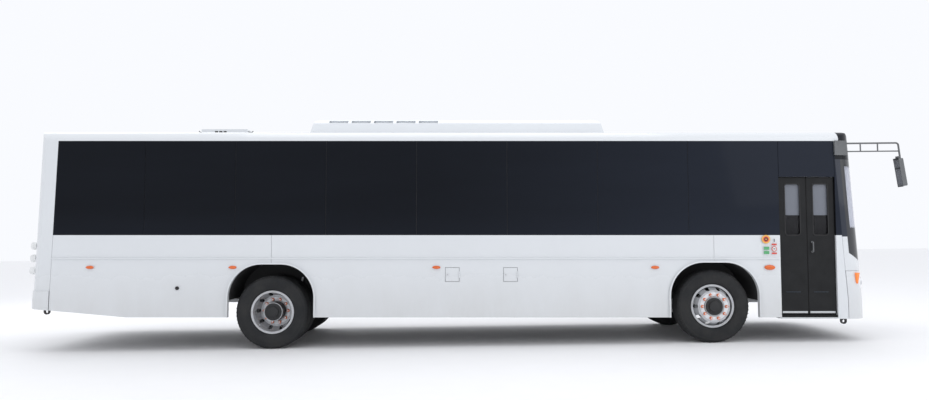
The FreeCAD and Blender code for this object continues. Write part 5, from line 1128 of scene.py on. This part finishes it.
# ---- nose ----
def nose_skin(y, z):
    """How far forward the nose reaches at a height and distance from the middle."""
    step_back = 0.045 * min(max((z - 0.65) / 0.65, 0), 1) + max(z - 1.30, 0) * WINDSCREEN_LEAN
    tip = level_box("front_bumper")[1].x - step_back
    radius = (1.25 ** 2 + 0.15 ** 2) / (2 * 0.15)
    bow = tip - radius + math.sqrt(radius ** 2 - min(abs(y), 0.95) ** 2)
    if abs(y) > 0.95:
        bow -= 0.30 - math.sqrt(max(0.30 ** 2 - (abs(y) - 0.95) ** 2, 0))
    return bow


class CITYBUS_OT_wipers(bpy.types.Operator):
    """Two wipers with their pivots, arms, blades and the blades' frames"""
    bl_idname = "citybus.wipers"
    bl_label = "Wipers"
    bl_options = {"REGISTER", "UNDO"}

    def execute(self, context):
        piece = Piece("wipers", "black_plastic", "black_rubber", "bright_steel")
        length = trim().wiper_length
        for pivot_y, reach in ((-0.72, 0.78), (0.30, 0.80)):
            z = 1.255
            foot = Vector((nose_skin(pivot_y, z) + 0.004, pivot_y, z))
            piece.rod(foot - Vector((0.03, 0, 0)), foot + Vector((0.022, 0, 0)), 0.026, 0.021, segments=24,
                      bevel=0.003)
            end_y = pivot_y + reach * 0.62
            end = Vector((nose_skin(end_y, 1.64) + 0.030, end_y, 1.64))
            piece.pipe([foot + Vector((0.018, 0, 0)), foot + Vector((0.032, 0.12, 0.06)), end], 0.0075, 0.04)
            base = Vector((nose_skin(end_y - length / 2, 1.46) + 0.012, end_y - length / 2, 1.46))
            tip = Vector((nose_skin(end_y + length / 2, 1.82) + 0.012, end_y + length / 2, 1.82))
            middle = Vector((nose_skin(end_y, 1.64) + 0.013, end_y, 1.64))
            piece.pipe([base, middle, tip], 0.006, 0.2, finish=1)
            piece.pipe([base.lerp(middle, 0.3) + Vector((0.006, 0, 0)), middle + Vector((0.016, 0, 0)),
                        tip.lerp(middle, 0.3) + Vector((0.006, 0, 0))], 0.004, 0.05)
        piece.done(BUS)
        return {"FINISHED"}


class CITYBUS_OT_nose_fittings(bpy.types.Operator):
    """Headlamps, turn lamps, nose slots as strips of painted shade, the blank front plate and the destination
    box
    """
    bl_idname = "citybus.nose_fittings"
    bl_label = "Nose fittings"
    bl_options = {"REGISTER", "UNDO"}

    def execute(self, context):
        self.lamps()
        self.grille()
        self.blind()
        return {"FINISHED"}

    def lamps(self):
        """Two round headlamps and a turn lamp on each side."""
        piece = Piece("headlamp_units", "clear_lens", "bright_steel", "black_plastic", "amber_lens")
        for side in SIDES:
            for y, radius in ((0.86, 0.072), (1.015, 0.066)):
                z = 0.895
                at = (nose_skin(y, z) + 0.0035 - abs(y) * 0.012, side * y, z)
                bezel = [(radius + 0.008, -0.030), (radius + 0.008, -0.001), (radius, 0.002),
                         (radius - 0.004, -0.004)]
                piece.turned(bezel, at, "X", 40, 1)
                piece.turned([(0.0, 0.004), (radius * 0.5, 0.003), (radius - 0.004, -0.004)], at, "X", 40, 0)
            corner = Matrix.Translation((nose_skin(1.205, 0.95) - 0.012, side * 1.210, 0.95)) \
                @ Matrix.Rotation(side * math.radians(60), 4, "Z")
            outline = [(0.0, -0.045, 0.075), (0.0, 0.045, 0.075), (0.0, 0.030, -0.050), (0.0, 0.005, -0.080)]
            piece.slab([(x, side * y, z) for x, y, z in outline], (0.024, 0, 0), 0.006, 3, 3, corner)
        piece.done(BUS)

    def grille(self):
        """Four curved black strips as painted shade for the nose slots, the blank plate under them and a round
        lamp at each side.
        """
        piece = Piece("nose_painted_shade_slots", "black_plastic", "black_rubber", "sign_white", "amber_lens")
        # Each slot is a thin black strip on the skin: painted shade for its opening.
        for z, half in ((0.60, 0.42), (0.655, 0.46), (0.71, 0.50), (0.765, 0.54)):
            steps = 12
            top, bottom = [], []
            for number in range(steps + 1):
                y = -half + 2 * half * number / steps
                x = nose_skin(y, z) + 0.0015
                top.append(piece.bm.verts.new((x, y, z + 0.014)))
                bottom.append(piece.bm.verts.new((x, y, z - 0.014)))
            edges = [piece.bm.edges.new(pair) for row in (top, bottom) for pair in zip(row, row[1:])]
            bmesh.ops.bridge_loops(piece.bm, edges=edges)
        bmesh.ops.recalc_face_normals(piece.bm, faces=piece.bm.faces[:])
        bmesh.ops.solidify(piece.bm, geom=piece.bm.faces[:], thickness=-0.004)
        x = nose_skin(0, 0.50)
        piece.block((x - 0.004, -0.26, 0.440), (x + 0.006, 0.26, 0.552), 0.004, 1)
        piece.block((x + 0.005, -0.25, 0.448), (x + 0.008, 0.25, 0.544), 0.001, 2, 1)
        for side in SIDES:
            piece.turned([(0.0, 0.004), (0.030, 0.003), (0.036, -0.004), (0.038, -0.03)],
                         (nose_skin(0.90, 0.62) + 0.002, side * 0.90, 0.62), "X", 32, 3)
        piece.done(BUS)

    def blind(self):
        """The destination box behind the top of the windscreen."""
        piece = Piece("destination_box", "black_plastic", "black_rubber")
        back = nose_skin(0.9, 2.62) - 0.20
        piece.block((back, -0.86, 2.42), (nose_skin(0.86, 2.62) - 0.035, 0.86, 2.74), 0.010)
        piece.done(BUS)


# ---- tail ----
def tail_skin(y, z):
    """How far back the tail reaches at a height and distance from the middle."""
    tip = level_box("rear_bumper")[0].x + 0.015 + max(z - 0.65, 0) * TAIL_LEAN
    return tip + 0.04 * (abs(y) / 1.25) ** 2


class CITYBUS_OT_tail_fittings(bpy.types.Operator):
    """Lamp lenses, the engine flap's slats and locks, the window seal, the blank plate and upper lamps"""
    bl_idname = "citybus.tail_fittings"
    bl_label = "Tail fittings"
    bl_options = {"REGISTER", "UNDO"}

    def execute(self, context):
        self.lamps()
        self.grille()
        self.window_seal()
        self.plate()
        return {"FINISHED"}

    def lamps(self):
        """Bezels and domed lenses over the three round lamps of each side."""
        piece = Piece("tail_lamp_lenses", "red_lens", "amber_lens", "clear_lens", "sign_white")
        for side in SIDES:
            for number, finish in enumerate((2, 1, 0)):
                z = 1.050 + number * 0.175
                x = tail_skin(0, z) - 0.0445
                at = (x, side * 1.12, z)
                piece.turned([(0.0, 0.0), (0.026, 0.0006), (0.040, 0.003), (0.046, 0.007), (0.046, 0.012)],
                             at, "X", 40, finish)
                piece.turned([(0.046, 0.006), (0.050, 0.0055), (0.0535, 0.009), (0.0545, 0.014),
                              (0.0545, 0.040), (0.050, 0.048)], at, "X", 40, 3)
        piece.done(BUS)

    def grille(self):
        """Slats over the engine flap, with its two locks."""
        low = level_box("engine_flap")[0]
        piece = Piece("engine_flap_slats", "black_plastic", "bright_steel")
        for column in (-0.42, 0.42):
            for number in range(9):
                z = low.z + 0.09 + number * 0.052
                x = tail_skin(column, z)
                slat = Matrix.Translation((x + 0.001, column, z)) @ Matrix.Rotation(math.radians(28), 4, "Y")
                piece.block((-0.004, -0.34, -0.014), (0.004, 0.34, 0.014), 0.0025, 0, 2, slat)
        for side in SIDES:
            at = (tail_skin(0.78, low.z + 0.06) + 0.001, side * 0.78, low.z + 0.06)
            piece.turned([(0.0, -0.007), (0.014, -0.007), (0.017, -0.004), (0.018, 0.004)], at, "X", 24, 1)
        piece.done("engine_lid")

    def window_seal(self):
        """A rubber bead round the rear window."""
        low, high = level_box("rear_window")
        piece = Piece("rear_window_seal", "black_rubber")
        corners = [(low.y, low.z), (high.y, low.z), (high.y, high.z), (low.y, high.z)]
        for (y0, z0), (y1, z1) in zip(corners, corners[1:] + corners[:1]):
            steps = 14 if abs(y1 - y0) > 0.1 else 2
            points = []
            for number in range(steps + 1):
                y, z = y0 + (y1 - y0) * number / steps, z0 + (z1 - z0) * number / steps
                points.append((tail_skin(y, z) + 0.002, y, z))
            piece.pipe(points, 0.007, 0.02, detail=2)
        piece.done(BUS)

    def plate(self):
        """The blank plate, round reflectors beside it and three lamps under the roof."""
        piece = Piece("rear_plate", "black_rubber", "sign_white", "clear_lens", "red_lens")
        z = 0.655
        x = level_box("rear_bumper")[0].x
        piece.block((x, -0.27, z - 0.062), (x + 0.010, 0.27, z + 0.062), 0.004, 0)
        piece.block((x, -0.255, z - 0.050), (x + 0.002, 0.255, z + 0.050), 0.0008, 1, 1)
        for side in SIDES:
            # The round reflectors take the red lamp lens, whose glow makes them shine although they are not
            # lamps: a painted glow.
            for y in (0.62, 1.08):
                piece.turned([(0.0, 0.0), (0.030, 0.001), (0.036, 0.005), (0.036, 0.012)],
                             (tail_skin(y, z) - 0.014, side * y, z), "X", 32, 3)
            at = tail_skin(0.95, 2.84)
            piece.block((at - 0.010, side * 0.95 - 0.06, 2.825), (at + 0.01, side * 0.95 + 0.06, 2.855),
                        0.006, 3, 3)
        piece.block((tail_skin(0, 2.78) - 0.012, -0.16, 2.765), (tail_skin(0, 2.78) + 0.01, 0.16, 2.795),
                    0.006, 3, 3)
        piece.done(BUS)


# ---- cabin ----
def seat_spots():
    """Each pair of seats' range along X, Y and Z, read from the solid's loose shells."""
    mesh = bmesh.new()
    mesh.from_mesh(frame["nodes"]["passenger_seats"].data)
    bmesh.ops.transform(mesh, matrix=LEVEL, verts=mesh.verts[:])
    bmesh.ops.remove_doubles(mesh, verts=mesh.verts[:], dist=1e-5)
    left = set(mesh.verts)
    spots = []
    while left:
        group, front = set(), {left.pop()}
        while front:
            group |= front
            front = {edge.other_vert(vert) for vert in front for edge in vert.link_edges} - group
        left -= group
        spots.append([(min(v.co[i] for v in group), max(v.co[i] for v in group)) for i in range(3)])
    mesh.free()
    return sorted(spots)


class CITYBUS_OT_seats(bpy.types.Operator):
    """Moulded shell seats in pairs, with grab handles and legs"""
    bl_idname = "citybus.seats"
    bl_label = "Passenger seats"
    bl_options = {"REGISTER", "UNDO"}

    def execute(self, context):
        piece = Piece("seat_shells", "seat_shell", "grey_plastic", "yellow_grip", "seat_cloth")
        for (x0, x1), (y0, y1), (z0, z1) in seat_spots():
            top = z1 - 0.64
            for number in range(2):
                low, high = y0 + number * (y1 - y0) / 2 + 0.012, y0 + (number + 1) * (y1 - y0) / 2 - 0.012
                self.shell(piece, x0, x1, low, high, top, z1)
            middle = (y0 + y1) / 2
            piece.block((x0 + 0.26, middle - 0.028, z0), (x0 + 0.34, middle + 0.028, top - 0.07), 0.008, 1)
            piece.block((x0 + 0.12, y0 + 0.05, top - 0.078), (x1 - 0.06, y1 - 0.05, top - 0.052), 0.008, 1)
            aisle = y0 + 0.045 if middle > 0 else y1 - 0.045
            inner, grip = aisle + (0.16 if middle > 0 else -0.16), x0 + 0.035
            piece.pipe([(grip, aisle, z1 - 0.05), (grip, aisle, z1 - 0.003), (grip, inner, z1 - 0.003),
                        (grip, inner, z1 - 0.05)], 0.0125, 0.03, finish=2)
        piece.done(BUS, ("passenger_seats",), angle=50)
        return {"FINISHED"}

    def shell(self, piece, x0, x1, low, high, top, z1):
        """One seat: a dished cushion and a back with a rounded head, as one bent shell."""
        outline = [(x1 - 0.01, top - 0.055), (x1 - 0.035, top - 0.018), (x1 - 0.12, top - 0.008),
                   (x0 + 0.22, top - 0.028), (x0 + 0.13, top - 0.010), (x0 + 0.085, top + 0.10),
                   (x0 + 0.070, top + 0.34), (x0 + 0.052, z1 - 0.08), (x0 + 0.040, z1 - 0.025)]
        rows = []
        across = ((0.0, 0.034), (0.06, 0.010), (0.2, 0.0), (0.5, -0.004), (0.8, 0.0), (0.94, 0.010),
                  (1.0, 0.034))
        for number, (x, z) in enumerate(outline):
            row = []
            waist = 0.03 if number in (0, len(outline) - 1) else 0.0
            for share, lift in across:
                y = low + waist + (high - low - 2 * waist) * share
                forward = lift if number > 4 else 0.0
                up = lift * 0.8 if number <= 4 else 0.0
                row.append(piece.bm.verts.new((x + forward, y, z + up)))
            rows.append(row)
        edges = [[piece.bm.edges.new(pair) for pair in zip(row, row[1:])] for row in rows]
        faces = []
        for first, second in zip(edges, edges[1:]):
            faces += bmesh.ops.bridge_loops(piece.bm, edges=first + second)["faces"]
        bmesh.ops.recalc_face_normals(piece.bm, faces=faces)
        skin = bmesh.ops.solidify(piece.bm, geom=faces, thickness=0.010)["geom"]
        verts = {item for item in skin if isinstance(item, bmesh.types.BMVert)}
        verts |= {vert for row in rows for vert in row}
        faces = {face for vert in verts for face in vert.link_faces}
        bmesh.ops.subdivide_edges(piece.bm, edges=list({e for f in faces for e in f.edges}), cuts=1,
                                  use_grid_fill=True, smooth=0.6)


class CITYBUS_OT_driver_place(bpy.types.Operator):
    """The driver's sprung seat, and the dashboard's binnacle and switches"""
    bl_idname = "citybus.driver_place"
    bl_label = "Driver's place"
    bl_options = {"REGISTER", "UNDO"}

    def execute(self, context):
        low, high = level_box("driver_seat")
        middle = (low.y + high.y) / 2
        top = high.z - 0.64
        rear = low.x + 0.005
        pads = [self.pad(name, (back, middle - half, foot), (front, middle + half, head), upright)
                for name, half, back, front, foot, head, upright in (
                    ("driver_cushion", 0.235, low.x + 0.07, high.x - 0.01, top - 0.10, top, False),
                    ("driver_back", 0.225, rear, low.x + 0.105, top + 0.015, high.z - 0.15, True),
                    ("driver_headrest", 0.13, rear, low.x + 0.085, high.z - 0.14, high.z - 0.005, True))]
        piece = Piece("driver_seat_base", "black_plastic", "bright_steel")
        piece.block((low.x + 0.10, middle - 0.19, low.z), (high.x - 0.08, middle + 0.19, low.z + 0.06), 0.01)
        for number in range(5):
            z = low.z + 0.06 + number * 0.042
            grow = 0.012 * (number % 2)
            half = 0.16 + grow
            piece.block((low.x + 0.12 - grow, middle - half, z),
                        (high.x - 0.11 + grow, middle + half, z + 0.045), 0.012)
        piece.block((low.x + 0.08, middle - 0.215, low.z + 0.265),
                    (high.x - 0.03, middle + 0.215, top - 0.095), 0.012)
        for y in (middle - 0.08, middle + 0.08):
            piece.rod((low.x + 0.05, y, high.z - 0.16), (low.x + 0.05, y, high.z - 0.13), 0.008, finish=1)
        piece.done(BUS, ("driver_seat",))
        self.binnacle()
        return {"FINISHED"}

    def pad(self, name, low, high, upright):
        """A crowned cushion whose sides pull in between its corners."""
        piece = Piece(name, "seat_cloth")
        low, high = Vector(low), Vector(high)
        size = high - low
        verts = bmesh.ops.create_cube(piece.bm, size=1)["verts"]
        bmesh.ops.scale(piece.bm, vec=size, verts=verts)
        bmesh.ops.translate(piece.bm, vec=(low + high) / 2, verts=verts)
        bmesh.ops.subdivide_edges(piece.bm, edges=piece.bm.edges[:], cuts=7, use_grid_fill=True)
        crown = 0 if upright else 2
        middle = (low + high) / 2
        for vert in piece.bm.verts:
            unit = Vector([(vert.co[i] - middle[i]) / size[i] * 2 for i in range(3)])
            flat = [unit[i] for i in range(3) if i != crown]
            dome = (1 - flat[0] ** 4) * (1 - flat[1] ** 4)
            vert.co[crown] = middle[crown] + unit[crown] * size[crown] / 2 * (0.62 + 0.38 * dome)
            for i in range(3):
                if i != crown:
                    other = [j for j in range(3) if j not in (i, crown)][0]
                    vert.co[i] -= unit[i] * size[i] * 0.035 * (1 - unit[other] ** 2) * abs(unit[i])
        bmesh.ops.smooth_vert(piece.bm, verts=piece.bm.verts[:], factor=0.5, use_axis_x=True, use_axis_y=True,
                              use_axis_z=True)
        pad = piece.done(BUS, angle=60)
        finish = pad.modifiers.new("Finish", "SUBSURF")
        finish.levels = finish.render_levels = 1
        return pad

    def binnacle(self):
        """The binnacle with its three dials, and a row of switches beside it."""
        low = level_box("dashboard")[0]
        piece = Piece("dashboard_fittings", "dashboard_skin", "black_plastic", "clear_lens", "amber_lens",
                      "bright_steel")
        x, y, z = low.x + 0.12, 0.76, 1.545
        piece.block((x - 0.02, y - 0.25, z - 0.06), (x + 0.16, y + 0.25, z + 0.085), 0.03, 0, 4)
        for offset, radius in ((-0.11, 0.052), (0.11, 0.052), (0.0, 0.034)):
            at = (x - 0.021, y + offset, z + 0.015)
            piece.turned([(0.0, -0.002), (radius, -0.002), (radius + 0.005, -0.006), (radius + 0.007, 0.004)],
                         at, "X", 32, 1)
            piece.turned([(0.0, -0.003), (radius * 0.86, -0.003)], at, "X", 32, 2)
        for number in range(10):
            at = y - 0.36 - 0.045 * number
            piece.block((low.x - 0.004, at, 1.40), (low.x + 0.012, at + 0.032, 1.46), 0.004,
                        1 if number % 3 else 3, 2)
        piece.done(BUS)


class CITYBUS_OT_handrails(bpy.types.Operator):
    """Grab poles from the floor to two ceiling rails, and the rails' hangers"""
    bl_idname = "citybus.handrails"
    bl_label = "Handrails"
    bl_options = {"REGISTER", "UNDO"}

    def execute(self, context):
        piece = Piece("handrails", "yellow_grip", "bright_steel")
        floor, ceiling = 0.98, HEAD_ROOM
        for side in SIDES:
            y = side * 0.325
            piece.pipe([(-4.1, y, ceiling - 0.02), (-4.1, y, 2.80), (4.1, y, 2.80), (4.1, y, ceiling - 0.02)],
                       0.016, 0.08)
            for x in (-3.2, -1.7, -0.2, 1.3, 2.8):
                piece.rod((x, y, 2.80), (x, y, ceiling), 0.010, finish=1, segments=12)
        for x in (-2.42, -0.92, 0.58, 2.08):
            for side in SIDES:
                piece.rod((x, side * 0.325, floor), (x, side * 0.325, 2.80), 0.016, segments=20)
                piece.turned([(0.016, 0.012), (0.034, 0.004), (0.036, 0.0)], (x, side * 0.325, floor), "Z",
                             24, 1)
        piece.done(BUS)
        return {"FINISHED"}


# ---- underneath ----
class CITYBUS_OT_running_gear(bpy.types.Operator):
    """Propeller shaft, dampers, brake chambers, air tanks, fuel tank and exhaust"""
    bl_idname = "citybus.running_gear"
    bl_label = "Running gear"
    bl_options = {"REGISTER", "UNDO"}

    def execute(self, context):
        piece = Piece("running_gear", "chassis_black", "engine_iron", "bright_steel", "black_rubber")
        high = level_box("engine_block")[1]
        rear, front = level_joint("rear_left_roll"), level_joint("front_left_roll")
        shaft = (Vector((high.x - 0.01, 0, 0.68)), Vector((rear.x - 0.16, 0, rear.z + 0.05)))
        piece.rod(shaft[0], shaft[1], 0.045, finish=0)
        for end in shaft:
            piece.rod(end - Vector((0.05, 0, 0)), end + Vector((0.05, 0, 0)), 0.07, finish=1, segments=16,
                      bevel=0.01)
        for axle in (rear, front):
            for side in SIDES:
                foot = Vector((axle.x + 0.20, side * 0.56, axle.z - 0.03))
                head = Vector((axle.x + 0.30, side * 0.56, 0.93))
                piece.rod(foot, foot.lerp(head, 0.62), 0.034, finish=0, segments=20, bevel=0.004)
                piece.rod(foot.lerp(head, 0.5), head, 0.016, finish=2, segments=16)
        for side in SIDES:
            at = Vector((rear.x - 0.16, side * 0.40, rear.z + 0.03))
            piece.rod(at, at + Vector((-0.17, 0, 0.05)), 0.085, finish=0, segments=28, bevel=0.02)
            piece.rod(at + Vector((0.13, 0, -0.03)), at, 0.012, finish=2, segments=12)
        for x, radius, length, y in ((0.10, 0.15, 0.75, 0.70), (0.95, 0.15, 0.75, 0.70),
                                     (-0.9, 0.17, 0.9, 0.72)):
            self.tank(piece, x, y, radius, length)
        piece.block((-0.55, -1.12, 0.44), (0.62, -0.62, 0.86), 0.05, 0, 4)
        for x in (-0.35, 0.42):
            piece.block((x - 0.02, -1.128, 0.432), (x + 0.02, -0.612, 0.868), 0.05, 2, 3)
        piece.pipe([(-4.55, -0.46, 0.60), (-4.9, -0.62, 0.52), (-5.5, -0.62, 0.50), (-5.82, -0.62, 0.50)],
                   0.05, 0.15, finish=1, detail=4)
        piece.done(BUS)
        return {"FINISHED"}

    def tank(self, piece, x, y, radius, length):
        """An air tank with domed ends and two straps."""
        half = length / 2
        end = [(0.0, half), (radius * 0.55, half - 0.012), (radius * 0.88, half - 0.04), (radius, half - 0.085)]
        profile = [(r, -place) for r, place in end] + end[::-1]
        piece.turned(profile, (x, y, 0.66), "X", 32, 0)
        for place in (-half * 0.5, half * 0.5):
            strap = [(radius + 0.004, place - 0.02), (radius + 0.004, place + 0.02),
                     (radius - 0.002, place + 0.02), (radius - 0.002, place - 0.02)]
            piece.turned(strap, (x, y, 0.66), "X", 32, 2, closed=True)


# ---- stage ----
class CITYBUS_OT_stage(bpy.types.Operator):
    """Pale floor, soft studio lights and the camera"""
    bl_idname = "citybus.stage"
    bl_label = "Stage"
    bl_options = {"REGISTER", "UNDO"}

    def execute(self, context):
        self.floor()
        self.lights()
        self.camera()
        return {"FINISHED"}

    def floor(self):
        """A wide pale floor under the wheels."""
        finish = Finish("stage_floor")
        grain = finish.noise(3.0, 4.0)
        tone = finish.blend(grain, (0.89, 0.89, 0.90), (0.92, 0.92, 0.93))
        finish.surface(Base_Color=tone, Roughness=0.75 + grain * 0.1)
        bm = bmesh.new()
        bmesh.ops.create_grid(bm, x_segments=2, y_segments=2, size=60)
        mesh = bpy.data.meshes.new("stage_floor")
        bm.to_mesh(mesh)
        bm.free()
        mesh.materials.append(Finish.made["stage_floor"])
        floor = bpy.data.objects.new("stage_floor", mesh)
        bpy.context.scene.collection.objects.link(floor)

    def lights(self):
        """A soft sky and three area lamps."""
        world = bpy.data.worlds.new("studio")
        world.use_nodes = True
        sky = world.node_tree.nodes["Background"]
        sky.inputs["Color"].default_value = (0.95, 0.965, 1.0, 1)
        sky.inputs["Strength"].default_value = 1.0
        bpy.context.scene.world = world
        bpy.context.scene.view_settings.view_transform = "Standard"
        for name, place, size, power in (
            ("key", (9.0, -7.0, 6.0), 8.0, 120.0), ("top", (0.0, 0.0, 13.0), 12.0, 500.0),
            ("rear", (-9.0, 7.0, 8.0), 8.0, 150.0),
        ):
            light = bpy.data.lights.new(name, "AREA")
            light.size, light.energy = size, power
            lamp = bpy.data.objects.new(name, light)
            bpy.context.scene.collection.objects.link(lamp)
            aim = Vector((0, 0, 1.4)) - Vector(place)
            lamp.matrix_world = Matrix.Translation(place) @ aim.to_track_quat("-Z", "Y").to_matrix().to_4x4()

    def camera(self):
        """Square to the right side, at a standing viewer's height and tipped up a little."""
        camera = bpy.data.cameras.new("camera")
        camera.sensor_width, camera.lens = 36.0, 27.6
        camera.shift_x = 0.0102
        camera.clip_end = 200
        holder = bpy.data.objects.new("camera", camera)
        bpy.context.scene.collection.objects.link(holder)
        holder.matrix_world = STANCE @ Matrix.Translation((0.0425, -11.25, 1.482)) \
            @ Matrix.Rotation(math.radians(90 + 3.215), 4, "X")
        bpy.context.scene.camera = holder


# ---- panel ----
STEPS = (
    CITYBUS_OT_finishes, CITYBUS_OT_tyres, CITYBUS_OT_wheel_fittings, CITYBUS_OT_arch_lips,
    CITYBUS_OT_side_trim, CITYBUS_OT_flap_locks, CITYBUS_OT_signs, CITYBUS_OT_door_fittings,
    CITYBUS_OT_roof_unit, CITYBUS_OT_hatch_fittings, CITYBUS_OT_mirror_fittings, CITYBUS_OT_wipers,
    CITYBUS_OT_nose_fittings, CITYBUS_OT_tail_fittings, CITYBUS_OT_seats, CITYBUS_OT_driver_place,
    CITYBUS_OT_handrails, CITYBUS_OT_running_gear, CITYBUS_OT_stage,
)


class CITYBUS_PT_panel(bpy.types.Panel):
    """The steps and settings, in the 3D view's sidebar"""
    bl_idname = "CITYBUS_PT_panel"
    bl_label = "City Bus"
    bl_space_type = "VIEW_3D"
    bl_region_type = "UI"
    bl_category = "City Bus"

    def draw(self, context):
        for group in (context.scene.bus_looks, context.scene.bus_trim):
            for name in group.__annotations__:
                self.layout.prop(group, name)
        for step in STEPS:
            self.layout.operator(step.bl_idname)


CLASSES = (BusLooks, BusTrim) + STEPS + (CITYBUS_PT_panel,)


def register():
    """Adds the classes and the two groups of settings."""
    for item in CLASSES:
        bpy.utils.register_class(item)
    bpy.types.Scene.bus_looks = PointerProperty(type=BusLooks)
    bpy.types.Scene.bus_trim = PointerProperty(type=BusTrim)


def unregister():
    """Takes them away again, in the opposite order."""
    del bpy.types.Scene.bus_trim
    del bpy.types.Scene.bus_looks
    for item in reversed(CLASSES):
        bpy.utils.unregister_class(item)


def main():
    """Runs every step in order."""
    register()
    for step in STEPS:
        family, name = step.bl_idname.split(".")
        getattr(getattr(bpy.ops, family), name)()


if __name__ == "__main__":
    main()
